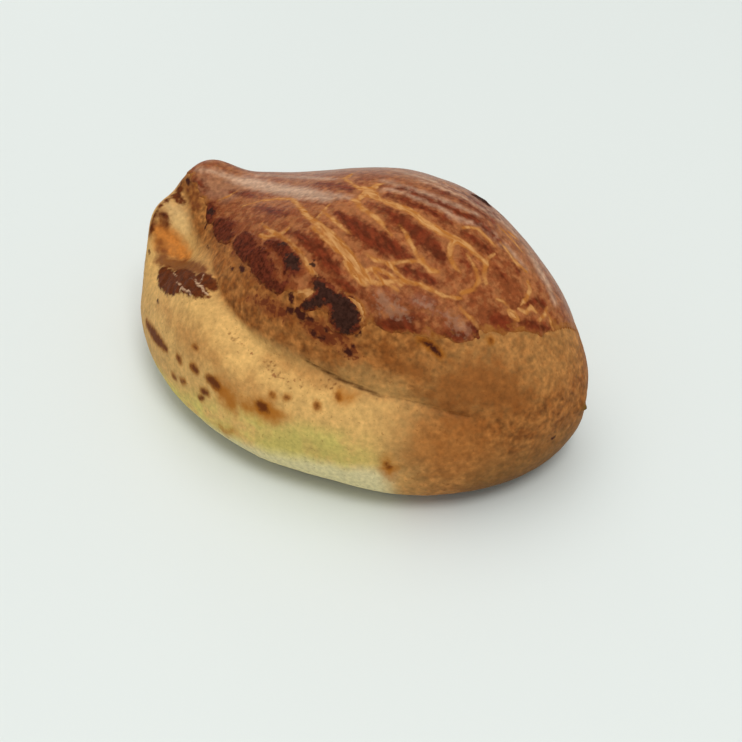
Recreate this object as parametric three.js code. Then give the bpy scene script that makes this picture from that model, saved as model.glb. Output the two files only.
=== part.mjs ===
// A cheese pogaca: a soft bun made of one round of dough folded over and pressed shut along its front.
// The fold lies along +Y and the pressed seam along -Y. The blunt, pinched end points to -X and the tapered
// end to +X. Millimetres, +Z up, with the origin under the middle of the bun's box, on its flat base.
//
// A point of the crust is found by its share of the length, from 0 at the pinched end to 1 at the tapered
// one, and by its turn round the long axis: 0 at the fold, 90 degrees on top and 180 at the front.
import * as THREE from "three";
import { mergeVertices } from "three/addons/utils/BufferGeometryUtils.js";

const { degToRad, lerp, smoothstep } = THREE.MathUtils;

// Overall form
const LENGTH = 101.9;
const FRONT_WIDTH = 38.5; // from the long axis out to the lower lip
const BACK_WIDTH = 28.5; // from the long axis out to the fold
const HEIGHT = 49;
const BELLY_HEIGHT = 11; // level at which the bun is widest
const TIP_HEIGHT = 16.5; // level of the tapered end's point
const TIP_LIFT = { from: 0.7, to: 1 }; // share of the length over which the belly rises to that point
const BASE_SINK = 3; // how much of the rounded underside the flat base takes away

// Where along the length each outline is fullest: 1 is half way, more is nearer the tapered end
const FRONT_SKEW = 1;
const BACK_SKEW = 0.92;
const DOME_SKEW = 1.25;

// How each outline closes at the ends: 1 is a sine, more is slimmer, less is blunter
const DOME_TAPER = 1.39;
const UNDERSIDE_TAPER = 0.48;

// Roundness of the sections: 2 is an ellipse, more is boxier
const DOME_ROUNDNESS = 2.2;
const UNDERSIDE_ROUNDNESS = 2.7;

// The ridge that leads from the dome out to the pinched corner
const RIDGE_LIFT = 12;
const RIDGE_SWING = 4; // how far it leans towards the fold
const RIDGE_TURN = degToRad(85);
const RIDGE_SPREAD = degToRad(32);
const RIDGE_CREST = 0.1; // share of the length at which it is highest
const RIDGE_END = 0.42; // share at which it has sunk into the dome

// Local swellings and hollows: where each is centred, how far it reaches, how far it stands out and how far
// it leans towards the pinched end, with angles in degrees
const PINCHED_CORNER = { share: 0.185, turn: 85, along: 0.06, around: 18, rise: 2.6, lean: 0 };
const MOUTH_RIM = { share: 0.12, turn: 122, along: 0.085, around: 31, rise: 8.6, lean: 0 };
const FLAP_EDGE = { share: 0.135, turn: 119, along: 0.055, around: 9, rise: 1.4, lean: 0.9 };
const MOUTH_HOLLOW = { share: 0.24, turn: 122, along: 0.07, around: 12, rise: -4.2, lean: 0 };
const MOUTH_NOTCH = { share: 0.165, turn: 105, along: 0.04, around: 6, rise: -2, lean: -0.5 };
const RIDGE_DIP = { share: 0.385, turn: 64, along: 0.055, around: 20, rise: -0.45, lean: 0 };
const FAR_SHOULDER = { share: 0.59, turn: 58, along: 0.08, around: 25, rise: 0.55, lean: 0 };
const FAR_END = { share: 0.84, turn: 36, along: 0.05, around: 20, rise: -0.5, lean: 0 };
const FRONT_FOOT = { share: 0.6, turn: 203, along: 0.06, around: 20, rise: -0.75, lean: 0 };
const MOUTH_FORMS = [PINCHED_CORNER, MOUTH_RIM, FLAP_EDGE, MOUTH_HOLLOW, MOUTH_NOTCH];
const SWELLINGS = [...MOUTH_FORMS, RIDGE_DIP, FAR_SHOULDER, FAR_END, FRONT_FOOT];
const END_FADE = 0.05; // share of the length over which they die out at the ends

// The seam between the two flaps
const SEAM_AT_MOUTH = degToRad(100);
const SEAM_AT_FRONT = degToRad(153);
const SEAM_BEND = { from: 0.18, to: 0.53 }; // share over which it comes round from the mouth to the front
const SEAM_OPENS = { from: 0.2, to: 0.48 };
const SEAM_CLOSES = { from: 0.66, to: 0.88 };
const SEAM_DEPTH = 1.4;
const LIP_ROLL = 10; // how far below the seam the lower lip starts to roll in
const FLAP_ROLL = 1.8; // how far above it the upper flap does
const FLAP_SETBACK = 3.2; // how far the upper flap stands behind the lip
const SETBACK_REACH = 20; // how far up the flap the setback fades out

// The small dry point at the tapered end
const NIB_LENGTH = 0.7;
const NIB_REACH = 0.03;

// The faces
const AROUND = 72;
const ALONG = 76;
const SEAM_CROWDING = 0.72; // how much closer the rows lie at the seam than under the fold
const WELD = 1e-3;

const CRUST_COLOUR = 0xb4763a;
const CRUST_ROUGHNESS = 0.55;

// Signed power, for superellipse outlines.
function bulge(value, roundness) {
  return Math.sign(value) * Math.abs(value) ** (2 / roundness);
}

// A hump over the length, fullest where the skew puts it.
function hump(share, skew) {
  return Math.abs(Math.sin(Math.PI * share ** skew));
}

function bell(distance, reach) {
  return Math.exp(-((distance / reach) ** 2));
}

// The folded bun before its ends and seam are shaped.
function foldedPoint(share, turn) {
  const across = Math.cos(turn);
  const up = Math.sin(turn);
  const front = across < 0;
  const over = up >= 0;
  const width = front ? FRONT_WIDTH * hump(share, FRONT_SKEW) : BACK_WIDTH * hump(share, BACK_SKEW);
  const belly = lerp(BELLY_HEIGHT, TIP_HEIGHT, smoothstep(share, TIP_LIFT.from, TIP_LIFT.to));
  const dome = (HEIGHT - BELLY_HEIGHT) * hump(share, DOME_SKEW) ** DOME_TAPER;
  const underside = (belly + BASE_SINK) * hump(share, 1) ** UNDERSIDE_TAPER;
  const roundness = over ? DOME_ROUNDNESS : UNDERSIDE_ROUNDNESS;
  return new THREE.Vector3(
    (LENGTH * (1 - Math.cos(Math.PI * share))) / 2,
    width * bulge(across, roundness),
    belly + (over ? dome : underside) * bulge(up, roundness),
  );
}

// How much of the ridge there is at a share of the length, from 0 to 1.
function ridgeAt(share) {
  return smoothstep(share, 0, RIDGE_CREST) * (1 - smoothstep(share, RIDGE_CREST, RIDGE_END));
}

function seamTurn(share) {
  return lerp(SEAM_AT_MOUTH, SEAM_AT_FRONT, smoothstep(share, SEAM_BEND.from, SEAM_BEND.to));
}

// How far the swellings push the crust out, and how far towards the pinched end.
function swelling(share, turn) {
  const fade = smoothstep(share, 0, END_FADE);
  let rise = 0;
  let lean = 0;
  for (const form of SWELLINGS) {
    const lengthwise = bell(share - form.share, form.along);
    const crosswise = bell(turn - degToRad(form.turn), degToRad(form.around));
    rise += form.rise * lengthwise * crosswise * fade;
    lean += form.lean * lengthwise * crosswise * fade;
  }
  return { rise, lean };
}

// How far the seam draws the crust in: a crease with a rolled lip, and the flap set back above it.
function seamDraw(share, turn) {
  const above = (seamTurn(share) - turn) * FRONT_WIDTH * hump(share, 1);
  const crease = SEAM_DEPTH * Math.exp(-Math.abs(above) / (above > 0 ? FLAP_ROLL : LIP_ROLL));
  const behindLip = smoothstep(above, -LIP_ROLL, FLAP_ROLL) * (1 - smoothstep(above, 0, SETBACK_REACH));
  const opened = smoothstep(share, SEAM_OPENS.from, SEAM_OPENS.to);
  const closed = smoothstep(share, SEAM_CLOSES.from, SEAM_CLOSES.to);
  return (crease + FLAP_SETBACK * behindLip) * opened * (1 - closed);
}

// A row's turn back from the seam, with the rows crowded towards the seam.
function rowTurn(row) {
  return 2 * Math.PI * row - SEAM_CROWDING * Math.sin(2 * Math.PI * row);
}

// The same turn, written between straight down by the fold and straight down by the front.
function wrapTurn(turn) {
  const fromFold = Math.atan2(Math.sin(turn), Math.cos(turn));
  return fromFold < -Math.PI / 2 ? fromFold + 2 * Math.PI : fromFold;
}

function doughPoint(row, share) {
  const turn = wrapTurn(seamTurn(share) - rowTurn(row));
  const point = foldedPoint(share, turn);
  const ridge = ridgeAt(share);
  const { rise, lean } = swelling(share, turn);
  const outward = rise - seamDraw(share, turn);
  point.x += NIB_LENGTH * bell(1 - share, NIB_REACH) - lean;
  point.y += RIDGE_SWING * ridge * Math.max(Math.sin(turn), 0) + outward * Math.cos(turn);
  point.z += RIDGE_LIFT * ridge * bell(turn - RIDGE_TURN, RIDGE_SPREAD) + outward * Math.sin(turn);
  point.z = Math.max(point.z, 0);
  return point;
}

// A sphere's faces, with each vertex moved to its place on the bun.
function doughGeometry() {
  const geometry = new THREE.SphereGeometry(1, AROUND, ALONG);
  const { position, uv } = geometry.attributes;
  for (let i = 0; i < position.count; i += 1) {
    const point = doughPoint(uv.getX(i), 1 - uv.getY(i));
    position.setXYZ(i, point.x, point.y, point.z);
  }
  geometry.deleteAttribute("normal");
  geometry.deleteAttribute("uv");
  const closed = mergeVertices(geometry, WELD);
  closed.computeBoundingBox();
  const middle = closed.boundingBox.getCenter(new THREE.Vector3());
  closed.translate(-middle.x, -middle.y, 0);
  closed.computeVertexNormals();
  return closed;
}

const crust = new THREE.MeshStandardMaterial({
  color: CRUST_COLOUR,
  roughness: CRUST_ROUGHNESS,
  metalness: 0,
});

const pogaca = new THREE.Group();
const dough = new THREE.Mesh(doughGeometry(), crust);
dough.name = "folded_dough";
pogaca.add(dough);

export default pogaca;
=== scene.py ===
"""A cheese pogaca: a folded, pinched bun with a cracked egg wash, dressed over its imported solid."""

import math
from typing import NamedTuple

import bmesh
import bpy
import numpy as np
from bpy.props import FloatProperty, FloatVectorProperty, IntProperty, PointerProperty
from bpy.types import Operator, Panel, PropertyGroup
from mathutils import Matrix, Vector, noise
from mathutils.bvhtree import BVHTree
from mathutils.kdtree import KDTree


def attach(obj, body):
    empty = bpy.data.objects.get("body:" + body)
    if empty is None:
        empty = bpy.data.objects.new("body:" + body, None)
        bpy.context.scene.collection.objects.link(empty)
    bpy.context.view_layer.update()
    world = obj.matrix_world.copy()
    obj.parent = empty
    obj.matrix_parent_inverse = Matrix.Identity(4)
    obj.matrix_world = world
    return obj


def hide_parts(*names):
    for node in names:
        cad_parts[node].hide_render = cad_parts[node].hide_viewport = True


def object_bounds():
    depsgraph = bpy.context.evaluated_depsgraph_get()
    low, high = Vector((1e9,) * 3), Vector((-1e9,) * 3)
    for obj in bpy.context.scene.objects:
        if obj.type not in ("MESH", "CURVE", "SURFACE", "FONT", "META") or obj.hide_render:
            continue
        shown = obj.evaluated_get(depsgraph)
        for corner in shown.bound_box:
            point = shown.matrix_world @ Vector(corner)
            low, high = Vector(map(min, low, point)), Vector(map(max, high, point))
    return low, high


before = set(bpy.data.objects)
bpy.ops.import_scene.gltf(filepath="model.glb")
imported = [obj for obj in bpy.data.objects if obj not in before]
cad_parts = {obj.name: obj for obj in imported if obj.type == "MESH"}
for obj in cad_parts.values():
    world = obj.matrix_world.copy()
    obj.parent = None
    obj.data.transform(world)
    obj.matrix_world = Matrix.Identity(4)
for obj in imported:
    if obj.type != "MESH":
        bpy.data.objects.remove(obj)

bl_info = {
    "name": "Cheese Pogaca",
    "version": (1, 0, 0),
    "blender": (4, 5, 0),
    "location": "View3D > Sidebar > Pogaca",
    "description": "Bakes the crust of a folded cheese bun over its packed solid",
    "category": "Object",
}

NODE = "folded_dough"
BODY = "root"
MM = 0.001
CAD_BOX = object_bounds()

# The photograph's frame
PHOTO_SIDE = 742
SENSOR_WIDTH = 36.0


class Stroke(NamedTuple):
    """A line on the crust: half widths along it, in millimetres, and pixels of the photograph it passes."""

    half_widths: tuple
    pixels: tuple


# The lower edge of the egg wash along the front, from the pinched corner to the tapered end
WASH_FRONT = (
    (188, 173), (191, 179), (197, 184), (200, 192), (203, 203), (205, 213), (208, 223), (217, 226),
    (222, 237), (231, 243), (236, 255), (245, 260), (252, 268), (258, 278), (267, 287), (280, 292),
    (290, 293), (298, 297), (304, 303), (314, 307), (324, 310), (329, 318), (332, 328), (338, 333),
    (346, 337), (358, 335), (362, 324), (372, 322), (378, 327), (388, 332), (400, 336), (410, 335),
    (420, 338), (430, 343), (438, 342), (446, 338), (460, 341), (472, 338), (480, 333), (487, 336),
    (494, 333), (503, 334), (510, 329), (517, 331), (523, 329), (531, 333), (540, 334), (548, 332),
    (556, 331),
)

# The same edge round the fold at the back, as places along the bun and heights, in millimetres
WASH_BACK = (
    (45.0, 27.0), (40.0, 28.0), (33.0, 30.5), (24.0, 31.0), (14.0, 33.0), (4.0, 31.0), (-6.0, 32.0),
    (-16.0, 29.5), (-26.0, 30.0), (-35.0, 28.5), (-42.0, 30.0), (-46.0, 32.5),
)

# Pale splits that opened in the wash as the bun rose
CRACKS = {
    "long_split_start": Stroke((0.05, 0.25, 0.3), ((243, 207), (262, 201), (278, 199), (288, 199))),
    "long_split": Stroke(
        (0.3, 0.45, 0.5, 0.75, 1.0, 0.9, 0.6, 0.35),
        ((288, 199), (293, 200), (300, 207), (308, 216), (315, 222), (322, 228), (330, 235), (337, 243),
         (345, 252), (352, 260), (358, 268), (364, 275), (372, 282), (380, 284)),
    ),
    "long_split_strand": Stroke((0.2, 0.45, 0.35), ((312, 227), (320, 234), (329, 242), (338, 251))),
    "long_split_low": Stroke((0.35, 0.6, 0.45), ((345, 262), (351, 270), (357, 277), (366, 285))),
    "left_opening": Stroke((0.05, 0.35, 0.4), ((262, 224), (268, 229), (275, 233), (281, 236))),
    "left_opening_low": Stroke((0.4, 0.5, 0.3), ((281, 234), (273, 235), (266, 238), (260, 235))),
    "left_opening_high": Stroke((0.35, 0.2, 0.05), ((281, 234), (287, 229), (292, 224))),
    "left_split": Stroke(
        (0.45, 0.5, 0.4, 0.4, 0.25),
        ((280, 236), (292, 245), (300, 254), (306, 262), (311, 270), (318, 279), (326, 285), (331, 291)),
    ),
    "ridge_opening": Stroke((0.4, 1.1, 0.9, 0.5), ((363, 188), (369, 191), (374, 196), (379, 199))),
    "ridge_opening_high": Stroke((0.1, 0.5, 0.7), ((384, 184), (376, 186), (370, 190))),
    "ridge_tick": Stroke((0.1, 0.7, 0.3), ((342, 179), (347, 178), (352, 174))),
    "ridge_link": Stroke((0.2, 0.25, 0.3), ((346, 180), (353, 185), (361, 190))),
    "ridge_twig": Stroke((0.35, 0.4, 0.35), ((352, 200), (358, 201), (366, 195))),
    "hanging_twig": Stroke(
        (0.4, 0.45, 0.4, 0.05),
        ((356, 201), (361, 208), (368, 213), (376, 218), (382, 224), (386, 230), (391, 235)),
    ),
    "crown_split": Stroke(
        (0.45, 0.65, 0.6, 0.7, 0.5),
        ((378, 199), (388, 203), (398, 207), (408, 210), (416, 215), (424, 223), (434, 228), (442, 233),
         (450, 237), (457, 240)),
    ),
    "crown_fork_left": Stroke(
        (0.5, 0.5, 0.4, 0.05), ((456, 240), (451, 245), (450, 252), (451, 259), (455, 266), (461, 273))
    ),
    "crown_fork_right": Stroke(
        (0.55, 0.5, 0.4, 0.25),
        ((457, 240), (468, 247), (476, 254), (483, 260), (486, 264), (485, 269), (484, 276), (486, 283)),
    ),
    "crown_fork_spur": Stroke((0.25, 0.05), ((486, 262), (490, 257), (494, 254))),
    "crown_inner": Stroke(
        (0.05, 0.25, 0.3, 0.4), ((467, 254), (472, 262), (476, 270), (479, 280), (474, 289), (462, 293))
    ),
    "middle_vein": Stroke(
        (0.05, 0.3, 0.4, 0.2), ((399, 225), (405, 232), (409, 240), (413, 247), (417, 255), (421, 262))
    ),
    "middle_hook": Stroke((0.25, 0.4, 0.25), ((422, 256), (424, 264), (430, 270), (439, 272))),
    "cross_vein": Stroke(
        (0.05, 0.35, 0.3, 0.3, 0.15),
        ((366, 254), (375, 260), (383, 262), (392, 264), (400, 262), (410, 261), (418, 261)),
    ),
    "cross_branch": Stroke((0.3, 0.25, 0.15), ((388, 264), (393, 268), (399, 275), (404, 279))),
    "low_vein": Stroke(
        (0.3, 0.35, 0.3, 0.2),
        ((380, 284), (390, 282), (400, 281), (410, 282), (420, 284), (432, 290), (445, 296), (461, 298)),
    ),
    "low_twin": Stroke(
        (0.3, 0.35, 0.3), ((364, 273), (372, 268), (380, 270), (388, 274), (394, 279), (401, 285))
    ),
    "low_web": Stroke((0.2, 0.3, 0.2), ((372, 268), (377, 276), (386, 283), (397, 290))),
    "right_bow": Stroke((0.2, 0.28, 0.2), ((461, 229), (470, 228), (478, 230), (486, 238), (494, 246))),
    "right_nick": Stroke((0.3, 0.2), ((508, 232), (517, 240))),
    "right_line": Stroke((0.1, 0.25, 0.35, 0.15), ((500, 243), (508, 253), (516, 263), (527, 272))),
    "right_line_high": Stroke((0.1, 0.25, 0.1), ((497, 225), (506, 234), (514, 243), (522, 252))),
    "end_curl": Stroke((0.15, 0.35, 0.35, 0.2), ((528, 281), (530, 290), (527, 298), (521, 305))),
    "end_hook": Stroke((0.2, 0.35, 0.35, 0.15), ((519, 309), (526, 312), (531, 307), (536, 312))),
    "end_blot": Stroke((0.4, 0.7, 0.4), ((509, 311), (513, 315), (517, 319))),
    "end_stem": Stroke((0.1, 0.25, 0.1), ((497, 299), (503, 301), (508, 306))),
    "end_twig": Stroke((0.15, 0.3, 0.15), ((539, 320), (545, 314), (547, 307))),
    "end_thread": Stroke((0.15, 0.25, 0.15), ((549, 316), (551, 324), (553, 330))),
    "edge_curl": Stroke((0.2, 0.35, 0.35), ((461, 308), (466, 314), (473, 320), (478, 328), (485, 334))),
    "crown_blot": Stroke((0.5, 0.9, 0.6), ((361, 197), (367, 192), (375, 188))),
    "ridge_vein": Stroke((0.3, 0.25, 0.05), ((317, 219), (323, 212), (330, 204))),
    "ridge_vein_down": Stroke((0.15, 0.3, 0.05), ((325, 213), (333, 220), (342, 228), (351, 235))),
    "corner_vein": Stroke((0.05, 0.2, 0.05), ((218, 201), (228, 197), (238, 191))),
    "char_rim": Stroke((0.4, 0.75, 0.8, 0.6), ((341, 293), (350, 298), (358, 305), (362, 313), (362, 321))),
    "char_rim_left": Stroke((0.6, 1.1, 0.9, 0.6), ((293, 303), (299, 297), (307, 295), (314, 291))),
    "char_slit": Stroke((0.15, 0.3, 0.2), ((325, 283), (328, 288), (331, 292))),
}

# Where the wash lies thick between the splits and baked to a deep red
POOLS = {
    "middle": Stroke(
        (0.8, 1.8, 2.2, 1.9, 1.0), ((338, 213), (354, 225), (374, 239), (394, 250), (408, 257))
    ),
    "middle_low": Stroke((0.4, 1.0, 1.0, 0.6), ((393, 268), (406, 269), (420, 274), (434, 281))),
    "crown_start": Stroke((0.4, 0.8, 0.9), ((370, 204), (378, 208), (388, 213))),
    "crown_low": Stroke(
        (1.1, 1.7, 2.0, 1.8, 1.1), ((392, 216), (404, 223), (418, 234), (432, 246), (444, 258))
    ),
    "crown_high": Stroke((0.5, 0.9, 0.9, 0.6), ((386, 196), (404, 201), (424, 209), (450, 224))),
    "stripe": Stroke((0.5, 0.8, 0.9, 0.6), ((402, 189), (440, 205), (474, 221), (500, 243))),
    "top_stripe": Stroke((0.5, 0.8, 0.6), ((430, 187), (462, 202), (492, 221))),
    "back_stripe": Stroke((0.4, 0.7, 0.5), ((440, 184), (468, 197), (496, 217))),
    "shoulder": Stroke((0.5, 0.9, 0.6), ((464, 233), (482, 246), (496, 258))),
    "loop": Stroke((0.4, 0.7, 0.3), ((462, 254), (468, 264), (470, 272))),
    "left": Stroke((0.4, 0.9, 0.7), ((258, 207), (272, 211), (286, 217))),
    "left_low": Stroke((0.8, 1.5, 1.4, 1.0), ((296, 232), (312, 244), (326, 258), (338, 274))),
    "left_tip": Stroke((0.4, 0.5), ((283, 233), (288, 231))),
    "left_band": Stroke((0.5, 0.9, 0.5), ((336, 280), (350, 288), (362, 296))),
    "ridge": Stroke((0.5, 1.0, 0.8), ((316, 184), (334, 186), (352, 190))),
    "ridge_left": Stroke((0.4, 0.8, 0.4), ((232, 192), (244, 194), (256, 197))),
    "corner": Stroke((0.4, 0.7, 0.4), ((196, 181), (200, 184), (206, 190))),
    "front": Stroke((0.5, 1.4, 1.5, 0.9), ((378, 323), (390, 325), (402, 325), (414, 331))),
    "front_high": Stroke((0.4, 0.8, 0.5), ((398, 320), (410, 318), (420, 318))),
    "front_middle": Stroke((0.5, 1.4, 1.0), ((444, 334), (455, 337), (466, 337))),
    "right_dots": Stroke((0.3, 0.5, 0.3), ((512, 264), (516, 268), (519, 272))),
    "right_dots_low": Stroke((0.3, 0.5, 0.3), ((498, 270), (502, 275), (505, 280))),
    "front_right": Stroke((0.8, 1.5, 1.2), ((492, 317), (500, 321), (508, 327))),
    "front_curl": Stroke((0.5, 0.8, 0.4), ((471, 324), (475, 330), (478, 337))),
    "front_end": Stroke((0.4, 0.9, 0.9, 0.5), ((520, 322), (529, 325), (538, 328), (546, 331))),
    "end_high": Stroke((0.5, 0.9, 0.7), ((524, 303), (534, 301), (545, 305))),
    "end": Stroke((0.5, 0.9, 0.6), ((540, 326), (546, 328), (552, 331))),
}

# Paler wash along the ridge and over the far side: partly wash worn thin, partly a painted sheen
WORN_AND_SHEEN = {
    "ridge": Stroke(
        (0.7, 1.6, 2.0, 1.9, 1.1), ((222, 176), (244, 182), (268, 187), (296, 192), (330, 199))
    ),
    "ridge_high": Stroke((0.2, 0.4, 0.4, 0.2), ((258, 176), (285, 177), (312, 178), (334, 180))),
    "ridge_low": Stroke((0.2, 0.5, 0.3), ((322, 193), (336, 196), (350, 199))),
    "far_first": Stroke(
        (0.1, 0.5, 0.5, 0.2), ((385, 190), (402, 193), (420, 200), (438, 207), (452, 217), (464, 222))
    ),
    "far_second": Stroke(
        (0.1, 0.5, 0.6, 0.3), ((382, 181), (400, 187), (420, 193), (440, 201), (460, 209), (475, 215))
    ),
    "far_third": Stroke(
        (0.1, 0.4, 0.5, 0.2), ((420, 181), (440, 188), (460, 197), (480, 208), (500, 221), (518, 238))
    ),
    "far_last": Stroke((0.1, 0.4, 0.4, 0.2), ((395, 172), (420, 177), (445, 186), (466, 197), (490, 212))),
    "far_right": Stroke(
        (0.2, 0.4, 0.4, 0.1), ((464, 222), (480, 226), (490, 234), (500, 243), (513, 255), (527, 269))
    ),
    "corner": Stroke((0.3, 0.7, 0.6), ((198, 171), (210, 171), (228, 177))),
    "right_edge": Stroke((0.4, 0.9, 0.8, 0.4), ((526, 248), (538, 267), (547, 284), (554, 302))),
}

# A painted sheen: paler, greyer wash at the pinched corner and on the crown
SHEEN_STROKES = {
    "corner": Stroke((1.4, 2.6, 2.4), ((203, 181), (216, 189), (232, 194))),
    "crown": Stroke((0.8, 1.6, 0.8), ((380, 174), (405, 176), (430, 179))),
}

# Where the wash ran thick at its edge and scorched
SCORCHES = {
    "corner_grey": Stroke((1.2, 1.7, 1.1), ((210, 207), (212, 213), (211, 219))),
    "corner_drip": Stroke((0.9, 2.2, 2.6, 1.8), ((217, 223), (222, 228), (227, 233), (231, 238))),
    "corner_blot": Stroke((1.8, 2.4, 2.4), ((241, 241), (246, 246), (250, 251))),
    "left_band": Stroke(
        (2.1, 2.2, 2.1, 1.9, 1.3), ((256, 256), (261, 264), (267, 274), (273, 282), (279, 288))
    ),
    "left_inner": Stroke((0.7, 1.2, 0.8), ((258, 251), (264, 255), (270, 259))),
    "left_top": Stroke((0.6, 1.1, 1.3), ((267, 243), (275, 244), (283, 248))),
    "left_blot": Stroke((1.4, 1.7, 1.8, 1.3), ((285, 254), (290, 260), (293, 265), (295, 270))),
    "left_join": Stroke((1.0, 1.0, 0.8), ((290, 272), (286, 279), (282, 287))),
    "char_top": Stroke((1.1, 1.5, 1.6, 1.5), ((317, 281), (322, 288), (327, 294), (333, 300))),
    "char_left": Stroke((0.9, 1.3, 1.3, 1.3), ((304, 308), (311, 304), (318, 299), (325, 298))),
    "far_speck": Stroke((0.9, 1.5, 1.0), ((476, 197), (481, 200), (486, 204))),
    "front_curl": Stroke((0.4, 0.7, 0.4), ((473, 327), (476, 332), (478, 337))),
    "char": Stroke((1.6, 2.6, 2.9, 2.2), ((336, 302), (343, 309), (346, 316), (346, 325))),
}

# Lighter wash left between those scorches
SCORCH_GAPS = {
    "ring_low": Stroke((0.6, 1.1, 0.7), ((277, 273), (281, 276), (286, 278))),
    "ring_middle": Stroke((0.4, 0.9, 0.6), ((270, 256), (275, 259), (281, 262))),
    "corner": Stroke((0.6, 0.9), ((234, 231), (239, 230))),
}

# The blackest parts of those scorches, and specks in the wash
CHARS = {
    "char": Stroke((1.3, 2.3, 2.5, 1.8), ((337, 303), (343, 310), (346, 317), (346, 323))),
    "char_top": Stroke((0.7, 1.1, 1.2), ((319, 284), (323, 290), (330, 298))),
    "char_left": Stroke((0.4, 0.9, 1.0), ((306, 306), (313, 303), (321, 300))),
    "left_blot": Stroke((0.6, 1.3, 0.9), ((288, 256), (293, 262), (297, 268))),
    "corner_grey": Stroke((0.4, 0.7), ((211, 210), (212, 215))),
    "island_speck": Stroke((0.4, 0.5), ((312, 263), (314, 265))),
    "blot_speck": Stroke((0.3, 0.4), ((283, 243), (284, 244))),
    "far_speck": Stroke((0.9, 1.5, 1.0), ((476, 197), (481, 200), (486, 204))),
    "far_speck_low": Stroke((0.3, 0.4), ((499, 214), (503, 217))),
}

# Blistered wash above its front edge, paler there: partly paler blistered skin, partly a painted highlight
BLISTERS = {
    "left": Stroke((1.2, 2.0, 2.0, 1.2), ((377, 293), (384, 302), (393, 311), (406, 316))),
    "middle": Stroke((0.6, 1.2, 0.8), ((416, 300), (426, 305), (436, 310))),
    "right": Stroke((1.0, 2.0, 1.6), ((446, 316), (456, 324), (467, 331))),
}

# Small burnt specks below the wash and along the left flank
SPECKS = {
    "below_scorch": Stroke((0.5, 0.7, 0.4), ((290, 294), (291, 298), (292, 302))),
    "below_blot": Stroke((0.5, 0.6), ((288, 310), (292, 311))),
    "left_of_char": Stroke((0.6, 1.0, 0.7), ((298, 310), (301, 314), (302, 318))),
    "left_of_char_low": Stroke((0.3, 0.5), ((309, 318), (312, 320))),
    "right_of_char": Stroke((0.4, 0.7, 0.5), ((367, 312), (368, 316), (367, 320))),
    "under_char": Stroke((0.4, 0.6, 0.5), ((358, 328), (358, 332), (357, 335))),
    "low_drip": Stroke((0.4, 0.6), ((345, 351), (349, 353))),
    "low_drip_right": Stroke((0.3, 0.4), ((352, 345), (353, 347))),
    "front_run": Stroke((0.2, 0.4, 0.4, 0.2), ((425, 342), (431, 346), (436, 351), (440, 355))),
    "flank_high": Stroke((0.3, 0.4), ((208, 246), (209, 248))),
    "flank_left": Stroke((0.3, 0.4), ((231, 268), (233, 269))),
    "flank_middle": Stroke((0.4, 0.7), ((241, 267), (243, 270))),
    "corner": Stroke((0.5, 0.6), ((187, 180), (189, 182))),
    "corner_low": Stroke((0.3, 0.5), ((207, 224), (205, 227))),
    "drip_left": Stroke((0.3, 0.4), ((318, 337), (323, 339))),
    "drip_middle": Stroke((0.3, 0.4), ((324, 329), (326, 331))),
    "drip_high": Stroke((0.3, 0.5), ((312, 330), (314, 334))),
    "taper_low": Stroke((0.3, 0.3), ((552, 438), (554, 437))),
    "wall_low": Stroke((0.3, 0.35), ((157, 300), (158, 302))),
    "wall_high": Stroke((0.25, 0.3), ((149, 251), (149, 253))),
}

# Thin, speckled runs of wash on the flank under the scorch
DRIPS = {
    "corner_edge": Stroke((0.3, 0.6, 0.6, 0.5), ((212, 224), (219, 239), (231, 244), (241, 259))),
    "left_edge": Stroke((0.5, 0.7, 0.7, 0.4), ((241, 259), (250, 271), (264, 285), (279, 295))),
    "under_left": Stroke((0.6, 1.4, 1.7, 1.2), ((250, 299), (262, 303), (275, 309), (287, 315))),
    "under_char": Stroke((1.2, 2.2, 2.2, 1.4), ((305, 321), (318, 330), (332, 336), (345, 341))),
    "under_char_low": Stroke((1.2, 1.7, 0.9), ((340, 340), (348, 350), (355, 358))),
}

# Egg wash that ran into the open end and browned there
AMBER = {
    "run": Stroke((1.8, 2.6, 2.8, 2.3, 1.3), ((158, 229), (164, 238), (172, 246), (180, 253), (188, 258))),
}
AMBER_DEEP = {
    "edge": Stroke((0.3, 0.6, 1.2), ((159, 240), (161, 250), (165, 260))),
    "low": Stroke((1.5, 1.8, 1.8, 1.2), ((162, 260), (175, 264), (188, 266), (202, 271))),
    "upper": Stroke((0.9, 1.4, 0.9), ((161, 214), (163, 219), (164, 226))),
    "rim": Stroke((0.4, 0.5, 0.3), ((154, 219), (151, 227), (150, 234))),
    "strand": Stroke((0.2, 0.3, 0.2), ((187, 188), (190, 198), (193, 208))),
    "strand_right": Stroke((0.2, 0.25, 0.2), ((192, 186), (196, 196), (198, 206))),
}

# The inside of the upper flap, which stayed paler
FLAP = {
    "inside": Stroke((1.2, 2.0, 2.2, 1.6), ((168, 204), (174, 211), (179, 219), (184, 228))),
}

# Dark crust in the open end, and painted shade under the flap's overhanging corner
MOUTH_CRUST_AND_SHADE = {
    "left": Stroke((1.4, 2.4, 2.3, 1.2), ((163, 271), (167, 278), (172, 285), (178, 290))),
    "middle": Stroke(
        (1.4, 2.4, 2.5, 1.8, 0.8), ((178, 273), (184, 278), (191, 284), (198, 290), (205, 296))
    ),
    "right": Stroke((1.2, 1.6, 1.3, 0.5), ((200, 277), (207, 282), (212, 287), (216, 291))),
    # The underside of the flap's overhanging corner: burnt crust, with painted shade under the overhang
    "corner": Stroke((0.4, 0.8, 1.3, 0.8), ((182, 184), (180, 190), (178, 196), (181, 202))),
    "rim": Stroke(
        (0.2, 0.35, 0.35, 0.2), ((168, 199), (163, 203), (158, 208), (155, 215), (152, 224), (151, 232))
    ),
    "upper": Stroke((0.4, 0.7, 0.4), ((161, 213), (165, 217), (166, 222))),
}

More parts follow.
